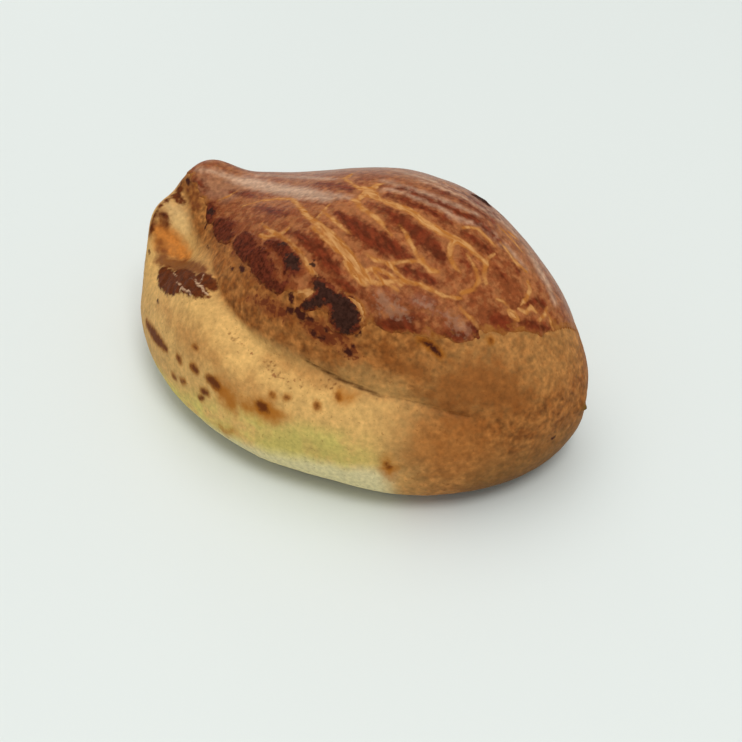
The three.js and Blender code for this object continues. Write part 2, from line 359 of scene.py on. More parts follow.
# Its lifted edges
CRINKLES = {
    "left": Stroke((0.1, 0.2, 0.2, 0.15), ((180, 292), (183, 288), (187, 292), (189, 291), (193, 297))),
    "left_blob": Stroke((0.2, 0.15), ((175, 275), (178, 277))),
    "left_low": Stroke((0.2, 0.15), ((178, 283), (182, 286))),
    "right": Stroke(
        (0.1, 0.2, 0.25, 0.15), ((191, 279), (196, 281), (198, 286), (203, 288), (205, 294), (209, 296))
    ),
    "right_spur": Stroke((0.15, 0.15, 0.1), ((199, 285), (203, 280), (205, 276))),
}

# Brown spots on the lower lip and the flank
SPOTS = {
    "wall_streak": Stroke((0.5, 1.2, 1.2, 0.5), ((146, 322), (151, 331), (157, 340), (166, 349))),
    "wall_dash": Stroke((0.5, 0.6, 0.5), ((177, 357), (179, 359), (180, 362))),
    "wall_dash_low": Stroke((0.4, 0.4), ((173, 376), (175, 378))),
    "wall_dash_last": Stroke((0.4, 0.4), ((181, 381), (184, 382))),
    "oval": Stroke((0.7, 0.9, 0.7), ((192, 367), (194, 369), (196, 371))),
    "faint": Stroke((0.4, 0.4), ((194, 346), (196, 348))),
    "large": Stroke((0.9, 1.2, 0.9), ((209, 379), (213, 382), (217, 386))),
    "pair_high": Stroke((0.7, 0.7), ((202, 392), (206, 393))),
    "pair_low": Stroke((0.5, 0.5), ((199, 398), (202, 398))),
    "middle": Stroke((0.9, 1.1, 0.7), ((259, 405), (262, 408), (265, 410))),
    "dot": Stroke((0.5, 0.5), ((316, 405), (317, 408))),
    "crease_dot": Stroke((0.4, 0.35), ((338, 396), (339, 398))),
    "dot_left": Stroke((0.35, 0.35), ((271, 394), (272, 396))),
    "dot_right": Stroke((0.35, 0.35), ((285, 398), (287, 398))),
    "low_right": Stroke((0.35, 0.4), ((387, 464), (389, 467))),
    "front_run": Stroke((0.4, 0.6, 0.6, 0.35), ((421, 340), (429, 344), (435, 350), (441, 356))),
    "flank_dot_high": Stroke((0.3, 0.4), ((489, 339), (491, 341))),
}

# Orange stains round them and below
STAINS = {
    "large_run": Stroke((1.4, 2.5, 2.3), ((217, 386), (225, 396), (231, 403))),
    "middle_run": Stroke((1.6, 2.1, 2.0, 0.4), ((243, 405), (256, 410), (269, 413), (286, 417))),
    "ring": Stroke((0.6, 0.9, 0.9, 0.6), ((222, 427), (224, 431), (228, 432), (232, 429))),
    "right": Stroke((0.6, 0.9, 0.5), ((341, 397), (347, 398), (353, 396))),
    "low_right": Stroke((0.7, 1.2, 1.0), ((387, 459), (389, 467), (388, 475))),
}

# Pits in the lower lip
PITS = (
    (229, 333), (232, 338), (236, 333), (238, 338), (234, 340), (265, 361), (268, 366), (272, 371),
    (275, 365), (279, 372), (277, 376), (271, 362), (290, 388), (303, 383), (301, 386), (329, 380),
    (326, 386), (331, 388), (335, 384), (340, 387), (309, 360), (312, 366),
)

# Where the lip is peppered with fine dark pores, along the seam
PEPPER = {
    "left": Stroke((1.5, 3.0, 2.5), ((222, 330), (240, 345), (262, 362))),
    "middle": Stroke((2.5, 3.5, 3.0, 1.5), ((262, 366), (285, 380), (310, 388), (340, 394))),
    "corner": Stroke((1.0, 2.0, 1.2), ((222, 262), (238, 272), (252, 290))),
}

# Where the flank and the end baked browner, with painted shade in the seam near the tapered end, where the
# lip took a warmer colour, and where the flank stayed lighter above the seam
BROWNER_AND_SEAM_SHADE = {
    "flank": Stroke((3.0, 4.5, 4.8, 3.5), ((450, 396), (470, 386), (490, 387), (512, 397))),
    "middle": Stroke((0.2, 0.6, 0.2), ((383, 360), (405, 368), (428, 377))),
    # Painted shade in the seam
    "seam": Stroke((1.0, 2.0, 1.0), ((452, 412), (462, 416), (474, 419))),
}
WARMER = {
    "right": Stroke((1.0, 4.5, 6.0, 4.0), ((412, 456), (432, 448), (455, 454), (480, 458))),
    "left": Stroke((0.8, 1.2, 3.2, 1.6), ((160, 302), (182, 330), (200, 350), (218, 364))),
    "stain": Stroke((1.5, 2.5, 1.5), ((222, 380), (243, 388), (265, 395))),
    "seam": Stroke((0.8, 1.4, 1.4, 0.6), ((270, 356), (295, 370), (315, 379), (332, 386))),
}
LIGHTER = {
    "seam": Stroke((1.0, 2.0, 2.0, 1.2), ((342, 369), (360, 376), (380, 384), (400, 390))),
}

# The palest dough, low at the front, over the cheese
OLIVE = {
    "patch": Stroke((1.4, 2.6, 2.8, 1.6), ((262, 436), (286, 444), (312, 448), (344, 453))),
    "streak": Stroke((0.6, 1.2, 0.8), ((318, 444), (334, 450), (352, 456))),
}

# The pressed seam, from the open end to where it fades towards the tapered end
SEAM = (
    (180, 197), (188, 220), (197, 245), (208, 275), (221, 300), (235, 316), (250, 330), (275, 346),
    (300, 360), (325, 373), (350, 384), (375, 393), (400, 399), (430, 408), (460, 413), (490, 417),
    (525, 414), (560, 405),
)

# The sharp line along the middle of it, painted nearly black as shade in the crease and fainter towards the
# tapered end
CREASE = {
    "seam": Stroke(
        (0.1, 0.2, 0.3, 0.32, 0.34, 0.28, 0.0, 0.05, 0.0, 0.0, 0.1, 0.0),
        ((300, 359), (316, 368), (332, 376), (345, 382), (356, 386), (366, 390), (380, 396), (394, 398),
         (408, 401), (425, 405), (442, 411), (456, 414), (470, 417)),
    ),
}


class Band(NamedTuple):
    """A band of paler dough low at the front, in millimetres."""

    tops: tuple  # places along the bun, and the height that it reaches there
    below: float  # how far below and above that height it fades out
    above: float
    sway: float  # how far its top wanders up and down
    lump: float  # size of the lumps in which it does
    end: tuple  # places along the bun over which it gives way to the browned end
    end_lump: float
    seed: int


# The hardly baked dough, and the cream edge just above the tray
PALE = Band(
    tops=(
        (-40.0, 7.0), (-20.0, 12.0), (-10.0, 15.5), (0.0, 18.5), (10.0, 20.0), (18.0, 20.0), (30.0, 19.0),
    ),
    below=4.0,
    above=2.0,
    sway=1.5,
    lump=9.0,
    end=(19.0, 29.0),
    end_lump=5.0,
    seed=8,
)
CREAM = Band(
    tops=((-25.0, 5.0), (-8.0, 8.0), (2.0, 9.6), (11.0, 11.0), (22.0, 12.4), (30.0, 13.0)),
    below=2.5,
    above=1.5,
    sway=0.6,
    lump=4.0,
    end=(25.0, 30.5),
    end_lump=4.0,
    seed=12,
)


def smooth_step(value, low, high):
    """0 below the low value and 1 above the high one, with a smooth rise between them."""
    share = np.clip((value - low) / (high - low), 0.0, 1.0)
    return share * share * (3.0 - 2.0 * share)


# Settings

FEWEST_POINTS = 40


def linear(srgb):
    """The scene's colour for one given as 0 to 255 on a screen, by the sRGB curve."""
    shares = [channel / 255.0 for channel in srgb]
    return [s / 12.92 if s <= 0.04045 else ((s + 0.055) / 1.055) ** 2.4 for s in shares]


def colour(name, description, srgb):
    return FloatVectorProperty(
        name=name, description=description, subtype="COLOR", size=3, min=0.0, max=1.0, default=linear(srgb)
    )


def degrees(name, description, value):
    return FloatProperty(name=name, description=description, subtype="ANGLE", default=math.radians(value))


def millimetres(name, description, value):
    return FloatProperty(name=name, description=description, unit="LENGTH", default=value * MM)


def watts(name, description, value):
    return FloatProperty(name=name, description=description, unit="POWER", default=value)


def points_count(name, description, value):
    return IntProperty(name=name, description=description, default=value, min=FEWEST_POINTS)


class PogacaView(PropertyGroup):
    """Where the photograph was taken from."""

    azimuth: degrees("Azimuth", "Turn of the camera from the front", 34.214)
    elevation: degrees("Elevation", "Height of the camera", 42.214)
    distance: millimetres("Distance", "From the camera to its target", 302.35)
    target: FloatVectorProperty(
        name="Target",
        description="Point in the middle of the picture",
        subtype="XYZ",
        unit="LENGTH",
        default=(0.00118, 0.00611, -0.00059),
    )
    focal_length: FloatProperty(
        name="Focal length", description="Focal length in pixels of the photograph", default=1400.0
    )


class PogacaCrust(PropertyGroup):
    """How finely the crust is made and how deep its relief is."""

    rings: points_count("Rings", "Rings of points from end to end", 400)
    columns: points_count("Columns", "Points in each ring", 220)
    wash_rows: points_count("Wash rows", "Rows of the egg wash from end to end", 352)
    wash_columns: points_count("Wash columns", "Points in each row of the wash", 272)
    unevenness: millimetres("Unevenness", "Swell of the hand-shaped dough", 0.35)
    grain: millimetres("Grain", "Roughness of the bare crust", 0.05)
    pit_depth: millimetres("Pit depth", "Depth of the small pits in the lower lip", 0.22)
    crease_depth: millimetres("Crease depth", "Depth of the sharp part of the seam", 0.5)
    wash_thickness: millimetres("Wash thickness", "Thickness of the egg wash", 0.14)
    blister: millimetres("Blister", "Roughness of the glossy wash at the front", 0.12)
    wash_tuck: millimetres("Wash tuck", "How far the wash's edges go under the crust", 0.15)
    scorch_lift: millimetres("Scorch lift", "How far scorched wash stands up", 0.3)
    crinkle_lift: millimetres("Crinkle lift", "How far the crinkles of the open end stand up", 0.4)


class PogacaColours(PropertyGroup):
    """The colours of the bake, with the painted sheen, highlight and shade laid on it."""

    golden: colour("Golden", "Lower lip, lightly baked", (220, 173, 103))
    tan: colour("Tan", "Flank above the seam and the tapered end", (158, 102, 50))
    umber: colour("Umber", "Darker patches of the flank", (140, 80, 32))
    copper: colour("Copper", "Warmer patches of the lower lip", (180, 114, 54))
    pale: colour("Pale", "Dough that hardly browned, low at the front", (219, 199, 109))
    olive: colour("Olive", "The palest patch low at the front, over the cheese", (184, 164, 88))
    cream: colour("Cream", "Dough just above the tray", (226, 213, 164))
    base: colour("Base", "Underside, browned on the tray", (104, 72, 34))
    # Browned underside, and painted shade along the lower edge and up the tapered end
    honey: colour("Honey", "Crust that shows in the splits of the wash", (192, 138, 82))
    ochre: colour("Ochre", "Thin wash beside the splits", (168, 104, 46))
    amber: colour("Amber", "Egg wash that ran into the open end", (200, 118, 42))
    stain: colour("Stain", "Orange stains of the lower lip", (176, 102, 18))
    # Brown spots, and, darkened, the painted shade in the seam's crease
    spot: colour("Spot", "Brown spots of the lower lip", (102, 46, 6))
    drip: colour("Drip", "Thin runs of wash under the scorch", (112, 46, 20))
    # Also the painted shade under the flap's overhanging corner
    crust: colour("Crust", "Dark crust in the open end", (94, 42, 9))
    crinkle: colour("Crinkle", "Lifted edges of the crust in the open end", (204, 166, 130))
    wash_pool: colour("Pooled wash", "Egg wash where it is thickest", (99, 38, 18))
    wash_deep: colour("Deep wash", "Egg wash where it lies thick", (133, 70, 37))
    wash_light: colour("Light wash", "Egg wash where it is thin", (160, 98, 57))
    # Worn wash and a painted sheen, along the ridge and the far side
    wash_worn_and_sheen: colour("Worn wash", "Egg wash rubbed thin along the ridge", (206, 168, 138))
    # A painted sheen, laid on the corner, the crown and the far side
    wash_sheen: colour("Dull wash", "Egg wash dried dull at the corner and behind", (156, 118, 92))
    # Paler blistered wash and a painted highlight, at the front
    bloom_and_glint: colour("Bloom", "Dull, blistered wash at the front", (180, 142, 112))
    scorch: colour("Scorch", "Scorched wash", (82, 34, 20))
    char: colour("Char", "The blackest spots", (52, 31, 24))
    dry_point: colour("Dry point", "The dry point of the tapered end", (96, 78, 34))


class PogacaStage(PropertyGroup):
    """The floor and the light."""

    floor_colour: colour("Floor", "Colour of the floor", (223, 228, 224))
    sky_strength: FloatProperty(
        name="Sky", description="Strength of the light from all round", default=0.48
    )
    key_power: watts("Key light", "Power of the lamp in front", 13.6)
    ceiling_power: watts("Ceiling light", "Power of the broad light overhead", 14.7)
    window_power: watts("Window", "Power of the broad low light behind", 3.0)


def view_axes(view):
    """The camera's right, up and backward directions."""
    turn, rise = view.azimuth, view.elevation
    back = Vector((math.sin(turn) * math.cos(rise), -math.cos(turn) * math.cos(rise), math.sin(rise)))
    right = Vector((math.cos(turn), math.sin(turn), 0.0))
    return right, back.cross(right), back


def camera_place(view):
    return Vector(view.target) + view_axes(view)[2] * view.distance


# Shape of the crust

WELD = 1e-6  # points of the solid this close together are one, in metres
PAIR_LIMIT = math.radians(60)  # triangles that turn less than this make a quad
SMOOTHING_LEVELS = 2


def evaluated_mesh(piece):
    graph = bpy.context.evaluated_depsgraph_get()
    return bpy.data.meshes.new_from_object(piece.evaluated_get(graph))


def smoothed_solid():
    """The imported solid's faces, welded, paired into quads and rounded, as a tree that rays can hit."""
    shell = bmesh.new()
    shell.from_mesh(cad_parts[NODE].data)
    bmesh.ops.remove_doubles(shell, verts=shell.verts, dist=WELD)
    bmesh.ops.join_triangles(
        shell, faces=shell.faces, angle_face_threshold=PAIR_LIMIT, angle_shape_threshold=PAIR_LIMIT
    )
    mesh = bpy.data.meshes.new("rounding")
    shell.to_mesh(mesh)
    shell.free()
    draft = bpy.data.objects.new("rounding", mesh)
    bpy.context.collection.objects.link(draft)
    draft.modifiers.new("round", "SUBSURF").levels = SMOOTHING_LEVELS
    rounded = evaluated_mesh(draft)
    places = [vertex.co.copy() for vertex in rounded.vertices]
    faces = [tuple(face.vertices) for face in rounded.polygons]
    bpy.data.objects.remove(draft)
    bpy.data.meshes.remove(mesh)
    bpy.data.meshes.remove(rounded)
    return BVHTree.FromPolygons(places, faces)


HEART = Vector((0.0, 5.0, 13.5)) * MM  # the middle from which the crust is reached
HEART_SPREAD = 0.62  # how far along the bun that middle stretches, as a share of its length
UNDERSIDE_CLOSENESS = 0.15  # how closely points are set underneath, against the front
BACK_CLOSENESS = 0.45  # and under the wash and behind
FRONT_EDGE = -2.0 * MM  # where the front begins
BASE_EDGE = 0.5 * MM  # and the underside
TRIAL_STEPS = 480


def crust_point(solid, share, turn):
    """Where a ray from the bun's middle leaves the crust.

    The share is of the way from the pinched end to the tapered one, and the turn is up from the front.
    """
    along = -math.cos(math.pi * share)
    out = math.sin(math.pi * share)
    heart = HEART + Vector((along * HEART_SPREAD * CAD_BOX[1].x, 0.0, 0.0))
    place = solid.ray_cast(heart, Vector((along, -out * math.cos(turn), out * math.sin(turn))))[0]
    if place is None:
        raise RuntimeError(f"No crust at share {share:.3f}, turn {turn:.3f}")
    return place


def closeness(places):
    """How closely points are set: most on the bare front, least underneath."""
    above = np.where(places[:, 1] < FRONT_EDGE, 1.0, BACK_CLOSENESS)
    return np.where(places[:, 2] < BASE_EDGE, UNDERSIDE_CLOSENESS, above)


def even_turns(solid, share, first, last, count, weigh=None):
    """Turns that space points evenly over one ring, or by a weight for each place."""
    trial = np.linspace(first, last, TRIAL_STEPS + 1)
    places = np.array([crust_point(solid, share, turn) for turn in trial])
    steps = np.linalg.norm(np.diff(places, axis=0), axis=1)
    if weigh:
        steps *= weigh(places[:-1])
    walked = np.concatenate(([0.0], np.cumsum(steps)))
    return np.interp(np.linspace(0.0, walked[-1], count), walked, trial)


def closed_crust(solid, rings, columns):
    """Points of the whole crust, ring by ring, with one point at each end, and the faces between them."""
    places = [crust_point(solid, 0.0, 0.0)]
    for share in np.linspace(0.0, 1.0, rings + 2)[1:-1]:
        turns = even_turns(solid, share, 0.0, 2.0 * math.pi, columns + 1, closeness)[:-1]
        places += [crust_point(solid, share, turn) for turn in turns]
    places.append(crust_point(solid, 1.0, 0.0))
    faces = []
    final = 1 + (rings - 1) * columns
    for column in range(columns):
        beside = (column + 1) % columns
        faces.append((0, 1 + column, 1 + beside))
        for here in range(1, final, columns):
            there = here + columns
            faces.append((here + column, there + column, there + beside, here + beside))
        faces.append((final + beside, final + column, len(places) - 1))
    return np.array(places), faces


# Shares of the length and turns up from the front between which the wash may lie
WASH_SHARES = (0.06, 0.97)
WASH_TURNS = (math.radians(34.0), math.radians(146.0))


def open_crust(solid, rows, columns):
    """Points of the upper crust in rows and columns, and the faces between them."""
    places = []
    for share in np.linspace(*WASH_SHARES, rows):
        turns = even_turns(solid, share, *WASH_TURNS, columns)
        places += [crust_point(solid, share, turn) for turn in turns]
    faces = []
    for row in range(rows - 1):
        here = row * columns
        there = here + columns
        for column in range(columns - 1):
            faces.append((here + column, there + column, there + column + 1, here + column + 1))
    return np.array(places), faces


# Lines drawn on the crust

BUN_MIDDLE = Vector((365.0, 325.0))  # the bun's middle in the photograph
OUTLINE_SLACK = 8  # pixels that a line may run off the bun's outline
STROKE_REACH = 4.0  # how far outside a stroke its depth is still measured, in millimetres
FAR = 99.0  # how far outside it every other place is taken to be
EDGE_STEPS = 20  # points set from one place of the wash's edge behind to the next
RAY_START = 1.0  # how far behind the bun rays to its back begin, in metres
WASH_FLOOR = 24.0  # no wash lies lower than this, in millimetres


def photo_point(solid, view, pixel):
    """The crust under a pixel of the photograph. A pixel just off the outline is first moved in."""
    right, up, back = view_axes(view)
    eye = camera_place(view)
    inward = (BUN_MIDDLE - pixel).normalized()
    for inset in range(OUTLINE_SLACK):
        offset = (pixel + inward * inset - Vector((PHOTO_SIDE / 2, PHOTO_SIDE / 2))) / view.focal_length
        place = solid.ray_cast(eye, (right * offset.x - up * offset.y - back).normalized())[0]
        if place is not None:
            return place
    raise RuntimeError(f"Pixel {pixel.x:.0f}, {pixel.y:.0f} is off the bun")


def drawn_path(solid, view, pixels):
    """A line of the photograph laid on the solid, in millimetres, with a point for each pixel."""
    places = []
    for start, end in zip(pixels, pixels[1:]):
        start, end = Vector(start), Vector(end)
        count = max(1, round((end - start).length))
        places += [photo_point(solid, view, start.lerp(end, step / count)) for step in range(count + 1)]
    return np.array(places) / MM


def depth_in_stroke(points, path, half_widths):
    """How deep each point lies inside a drawn stroke, in millimetres, negative outside it."""
    shares = np.linspace(0.0, 1.0, len(path))
    widths = np.interp(shares, np.linspace(0.0, 1.0, len(half_widths)), half_widths)
    reach = STROKE_REACH + max(half_widths)
    near = np.all((points > path.min(axis=0) - reach) & (points < path.max(axis=0) + reach), axis=1)
    depth = np.full(len(points), -FAR)
    gaps = np.linalg.norm(points[near][:, None, :] - path[None, :, :], axis=2)
    depth[near] = (widths - gaps).max(axis=1)
    return depth


def depth_in_strokes(points, solid, view, strokes):
    depth = np.full(len(points), -FAR)
    for stroke in strokes.values():
        path = drawn_path(solid, view, stroke.pixels)
        depth = np.maximum(depth, depth_in_stroke(points, path, stroke.half_widths))
    return depth


def depths_in_lines(points, solid, view, lines):
    """The depths in several sets of strokes, by their names."""
    return {name: depth_in_strokes(points, solid, view, strokes) for name, strokes in lines.items()}


def inside_loop(points, loop):
    """Which points lie inside a closed loop, both seen from above."""
    inside = np.zeros(len(points), dtype=bool)
    for (x0, y0), (x1, y1) in zip(loop, np.roll(loop, -1, axis=0)):
        crosses = (points[:, 1] < y0) != (points[:, 1] < y1)
        rise = y1 - y0 if y1 != y0 else 1.0
        inside ^= crosses & (points[:, 0] < x0 + (points[:, 1] - y0) * (x1 - x0) / rise)
    return inside


def wash_loop(solid, view):
    """The edge of the egg wash, all the way round, in millimetres."""
    front = drawn_path(solid, view, WASH_FRONT)
    behind = []
    for along, height in WASH_BACK:
        start = Vector((along * MM, RAY_START, height * MM))
        place = solid.ray_cast(start, Vector((0.0, -1.0, 0.0)))[0]
        if place is None:
            raise RuntimeError(f"No crust behind at {along}, {height}")
        behind.append(np.array(place) / MM)
    corners = np.array([front[-1], *behind, front[0]])
    steps = np.arange(len(corners))
    fine = np.linspace(0, len(corners) - 1, EDGE_STEPS * len(corners))
    back = np.stack([np.interp(fine, steps, corners[:, axis]) for axis in range(3)], axis=1)
    return np.concatenate((front, back))


def depth_in_wash(points, loop):
    """How far each point lies inside the edge of the egg wash, in millimetres, negative outside it."""
    edge = KDTree(len(loop))
    for index, place in enumerate(loop):
        edge.insert(place, index)
    edge.balance()
    gap = np.array([edge.find(point)[2] for point in points])
    inside = inside_loop(points[:, :2], loop[:, :2]) & (points[:, 2] > WASH_FLOOR)
    return np.where(inside, gap, -gap)


# Noise over the crust

SEED_STEPS = (17.3, 5.9, 11.1)  # how far each seed moves the noise
BRUSH_SEED_STEP = 7.7
FAN = 0.45  # how far the brush swung out down the front, for each millimetre along the bun
FAN_START = (-2.0, 8.0)  # places towards the front over which it began to
FAN_END = 18.0  # place along the bun beyond which it swung no further


def ripple(points, size, seed):
    """Smooth noise between -1 and 1, with lumps about as wide as the size given in millimetres."""
    shift = Vector([seed * step for step in SEED_STEPS])
    return np.array([noise.noise(Vector(point) / size + shift) for point in points])


def flow_across(points):
    """A measure across the brush, which went along the bun on top and fanned out down the front."""
    along, across = points[:, 0], points[:, 1]
    return across + FAN * smooth_step(-across, *FAN_START) * np.minimum(along, FAN_END)


def brushed(points, length, width, seed):
    """Noise between -1 and 1 drawn out along the brush, with streaks of the length and width given."""
    across = flow_across(points)
    layer = np.full(len(points), seed * BRUSH_SEED_STEP)
    places = np.stack((points[:, 0] / length, across / width, layer), axis=1)
    return np.array([noise.noise(Vector(place)) for place in places])


# Nodes

FLOAT = "NodeSocketFloat"
COLOUR = "NodeSocketColor"
VECTOR = "NodeSocketVector"

# A Mix node's sockets for colours, which share their names with those for values and vectors
MIX_FACTOR = 0
MIX_FIRST = 6
MIX_SECOND = 7
MIX_RESULT = 2


def add_node(tree, kind, inputs=None, **settings):
    """A new node, with its settings made and its inputs set or linked."""
    node = tree.nodes.new(kind)
    for name, value in settings.items():
        setattr(node, name, value)
    for key, value in (inputs or {}).items():
        socket = node.inputs[key]
        if isinstance(value, bpy.types.NodeSocket):
            tree.links.new(value, socket)
        else:
            socket.default_value = value
    return node


def mixed(tree, factor, first, second, blend="MIX"):
    """The colour between two others."""
    inputs = {MIX_FACTOR: factor, MIX_FIRST: first, MIX_SECOND: second}
    node = add_node(tree, "ShaderNodeMix", inputs, data_type="RGBA", blend_type=blend)
    return node.outputs[MIX_RESULT]


def calculated(tree, operation, *values):
    return add_node(tree, "ShaderNodeMath", dict(enumerate(values)), operation=operation).outputs[0]


def faded(tree, mask, strength):
    return calculated(tree, "MULTIPLY", mask, strength)


def ranged(tree, value, low, high, to_low=0.0, to_high=1.0, smooth=True):
    node = add_node(
        tree,
        "ShaderNodeMapRange",
        {"Value": value, "From Min": low, "From Max": high, "To Min": to_low, "To Max": to_high},
        interpolation_type="SMOOTHSTEP" if smooth else "LINEAR",
    )
    return node.outputs["Result"]


def rough(tree, place, scale, detail, roughness=0.5):
    """Noise between 0 and 1."""
    inputs = {"Vector": place, "Scale": scale, "Detail": detail, "Roughness": roughness}
    return add_node(tree, "ShaderNodeTexNoise", inputs).outputs["Fac"]


def field(tree, name):
    return add_node(tree, "ShaderNodeAttribute", attribute_name=name).outputs["Fac"]


def opaque(rgb, shade=1.0):
    return (rgb[0] * shade, rgb[1] * shade, rgb[2] * shade, 1.0)


# Node groups that both materials use

EDGE_NOISE = (0.25, 0.75)  # what the noise along a ragged edge mostly keeps between
EDGE_DETAIL = 3.0
GRAIN_NOISE = (0.3, 0.7)
LUMP_DETAIL = 3.0
STREAK_DETAIL = 1.0
TONE_ROUGHNESS = 0.6
TWO_TONES = {"Light": COLOUR, "Dark": COLOUR, "Place": VECTOR, "Balance": FLOAT, "Spread": FLOAT}


def new_group(name, inputs, outputs):
    tree = bpy.data.node_groups.new(name, "ShaderNodeTree")
    for label, kind in inputs.items():
        tree.interface.new_socket(label, in_out="INPUT", socket_type=kind)
    for label, kind in outputs.items():
        tree.interface.new_socket(label, in_out="OUTPUT", socket_type=kind)
    return tree, tree.nodes.new("NodeGroupInput").outputs, tree.nodes.new("NodeGroupOutput").inputs


def ragged_mask_group(name):
    """Turns a depth in millimetres into a mask with a ragged edge."""
    inputs = {"Depth": FLOAT, "Place": VECTOR, "Size": FLOAT, "Raggedness": FLOAT, "Softness": FLOAT}
    tree, given, result = new_group(name, inputs, {"Mask": FLOAT})
    scale = calculated(tree, "DIVIDE", 1.0, given["Size"])
    lumps = rough(tree, given["Place"], scale, EDGE_DETAIL)
    sway = ranged(tree, lumps, *EDGE_NOISE, -1.0, 1.0, smooth=False)
    depth = calculated(tree, "MULTIPLY_ADD", sway, given["Raggedness"], given["Depth"])
    outside = calculated(tree, "MULTIPLY", given["Softness"], -1.0)
    tree.links.new(ranged(tree, depth, outside, given["Softness"]), result["Mask"])
    return tree


def patched(tree, given, place, scale, detail):
    """A group's two tones, patched together by noise."""
    low = calculated(tree, "SUBTRACT", given["Balance"], given["Spread"])
    high = calculated(tree, "ADD", given["Balance"], given["Spread"])
    tone = ranged(tree, rough(tree, place, scale, detail, TONE_ROUGHNESS), low, high)
    return mixed(tree, tone, given["Light"], given["Dark"])


def mottle_group(name):
    """Two tones of one bake, in lumps."""
    tree, given, result = new_group(name, {**TWO_TONES, "Size": FLOAT}, {"Colour": COLOUR})
    scale = calculated(tree, "DIVIDE", 1.0, given["Size"])
    tree.links.new(patched(tree, given, given["Place"], scale, LUMP_DETAIL), result["Colour"])
    return tree


def streak_group(name):
    """Two tones of one bake, in streaks along the brush."""
    inputs = {**TWO_TONES, "Across": FLOAT, "Length": FLOAT, "Width": FLOAT}
    tree, given, result = new_group(name, inputs, {"Colour": COLOUR})
    along = add_node(tree, "ShaderNodeSeparateXYZ", {0: given["Place"]}).outputs["X"]
    streak = {
        "X": calculated(tree, "DIVIDE", along, given["Length"]),
        "Y": calculated(tree, "DIVIDE", given["Across"], given["Width"]),
    }
    place = add_node(tree, "ShaderNodeCombineXYZ", streak).outputs["Vector"]
    tree.links.new(patched(tree, given, place, 1.0, STREAK_DETAIL), result["Colour"])
    return tree


def grain_group(name):
    """A colour made lighter and darker in fine grains."""
    inputs = {"Colour": COLOUR, "Place": VECTOR, "Size": FLOAT, "Strength": FLOAT, "Detail": FLOAT}
    tree, given, result = new_group(name, inputs, {"Colour": COLOUR})
    scale = calculated(tree, "DIVIDE", 1.0, given["Size"])
    grains = rough(tree, given["Place"], scale, given["Detail"])
    darkest = calculated(tree, "SUBTRACT", 1.0, given["Strength"])
    lightest = calculated(tree, "ADD", 1.0, given["Strength"])
    shade = ranged(tree, grains, *GRAIN_NOISE, darkest, lightest, smooth=False)
    grey = add_node(tree, "ShaderNodeCombineColor", {"Red": shade, "Green": shade, "Blue": shade})
    tree.links.new(mixed(tree, 1.0, given["Colour"], grey.outputs["Color"], "MULTIPLY"), result["Colour"])
    return tree


def skin_group(name):
    """The height of a crust's fine relief, from 0 to 1."""
    inputs = {"Place": VECTOR, "Scale": FLOAT, "Detail": FLOAT, "Roughness": FLOAT}
    tree, given, result = new_group(name, inputs, {"Height": FLOAT})
    height = rough(tree, given["Place"], given["Scale"], given["Detail"], given["Roughness"])
    tree.links.new(height, result["Height"])
    return tree


GROUPS = {
    "Ragged Mask": ragged_mask_group,
    "Bake Mottle": mottle_group,
    "Brush Streaks": streak_group,
    "Bake Grain": grain_group,
    "Crust Skin": skin_group,
}


def placed(tree, name, inputs):
    """The first output of a node group put into a tree. The group is built when it is first needed."""
    group = bpy.data.node_groups.get(name) or GROUPS[name](name)
    return add_node(tree, "ShaderNodeGroup", inputs, node_tree=group).outputs[0]


# Layers of the materials, with measures in millimetres


class Tone(NamedTuple):
    """A colour of the bake, or two patched together in lumps or in streaks along the brush."""

    light: str
    light_shade: float = 1.0
    dark: str = ""
    dark_shade: float = 1.0
    lump: float = 0.0  # size of the lumps
    balance: float = 0.5  # more gives more of the light one
    streak: tuple = ()  # length and width of the streaks


class Edge(NamedTuple):
    """The ragged edge of a mask."""

    lump: float  # size of its lumps
    raggedness: float  # how far they reach in and out
    softness: float
    reach: float = 0.0  # how far it lies outside the line that it follows


class Layer(NamedTuple):
    """A tone laid over the colours below it, where one of the mesh's fields says."""

    field: str
    strength: float
    tone: Tone
    edge: Edge = None  # none where the field is a mask already


class Grain(NamedTuple):
    """Fine grains of light and dark."""

    size: float
    strength: float
    detail: float


class Skin(NamedTuple):
    """Fine relief: its noise, and how strongly it shows."""

    scale: float
    detail: float
    roughness: float
    strength: float


LUMP_SPREAD = 0.2
STREAK_SPREAD = 0.15
SKIN_DEPTH = 0.2 * MM

# The dough, from its first colours up
LIP = Tone("golden", 1.08, "golden", 0.84, 3.0)
FLANK = Tone("tan", 1.17, "umber", 0.88, 2.6)
FLANK_GRAIN = Grain(1.1, 0.33, 1.0)
END_GLOW = 0.18
DOUGH_BAKE = (
    Layer("warmer", 0.5, Tone("copper", 1.16, "copper", 0.82, 1.6), Edge(3.0, 1.2, 3.0)),
    # Browner bake, and painted shade in the seam
    Layer("browner_and_seam_shade", 0.75, Tone("umber", 1.14, "umber", 0.84, 1.6), Edge(2.2, 2.2, 2.6)),
    Layer("lighter", 0.42, LIP, Edge(2.4, 1.0, 2.0)),
    Layer("pallor", 1.0, Tone("golden", 1.05, "pale", 1.0, 6.0, 0.42)),
    Layer("olive", 0.5, Tone("olive"), Edge(3.0, 1.2, 2.4)),
    Layer("cream", 0.9, Tone("cream")),
    Layer("flap", 0.15, Tone("cream")),
)
DOUGH_GRAIN = Grain(0.9, 0.14, 3.0)
PORE_SCALE = 1.8
PORE_DETAIL = 2.0
PORE_NOISE = (0.62, 0.74)  # only the peaks of the noise are pores
PORE_STRENGTH = 0.3
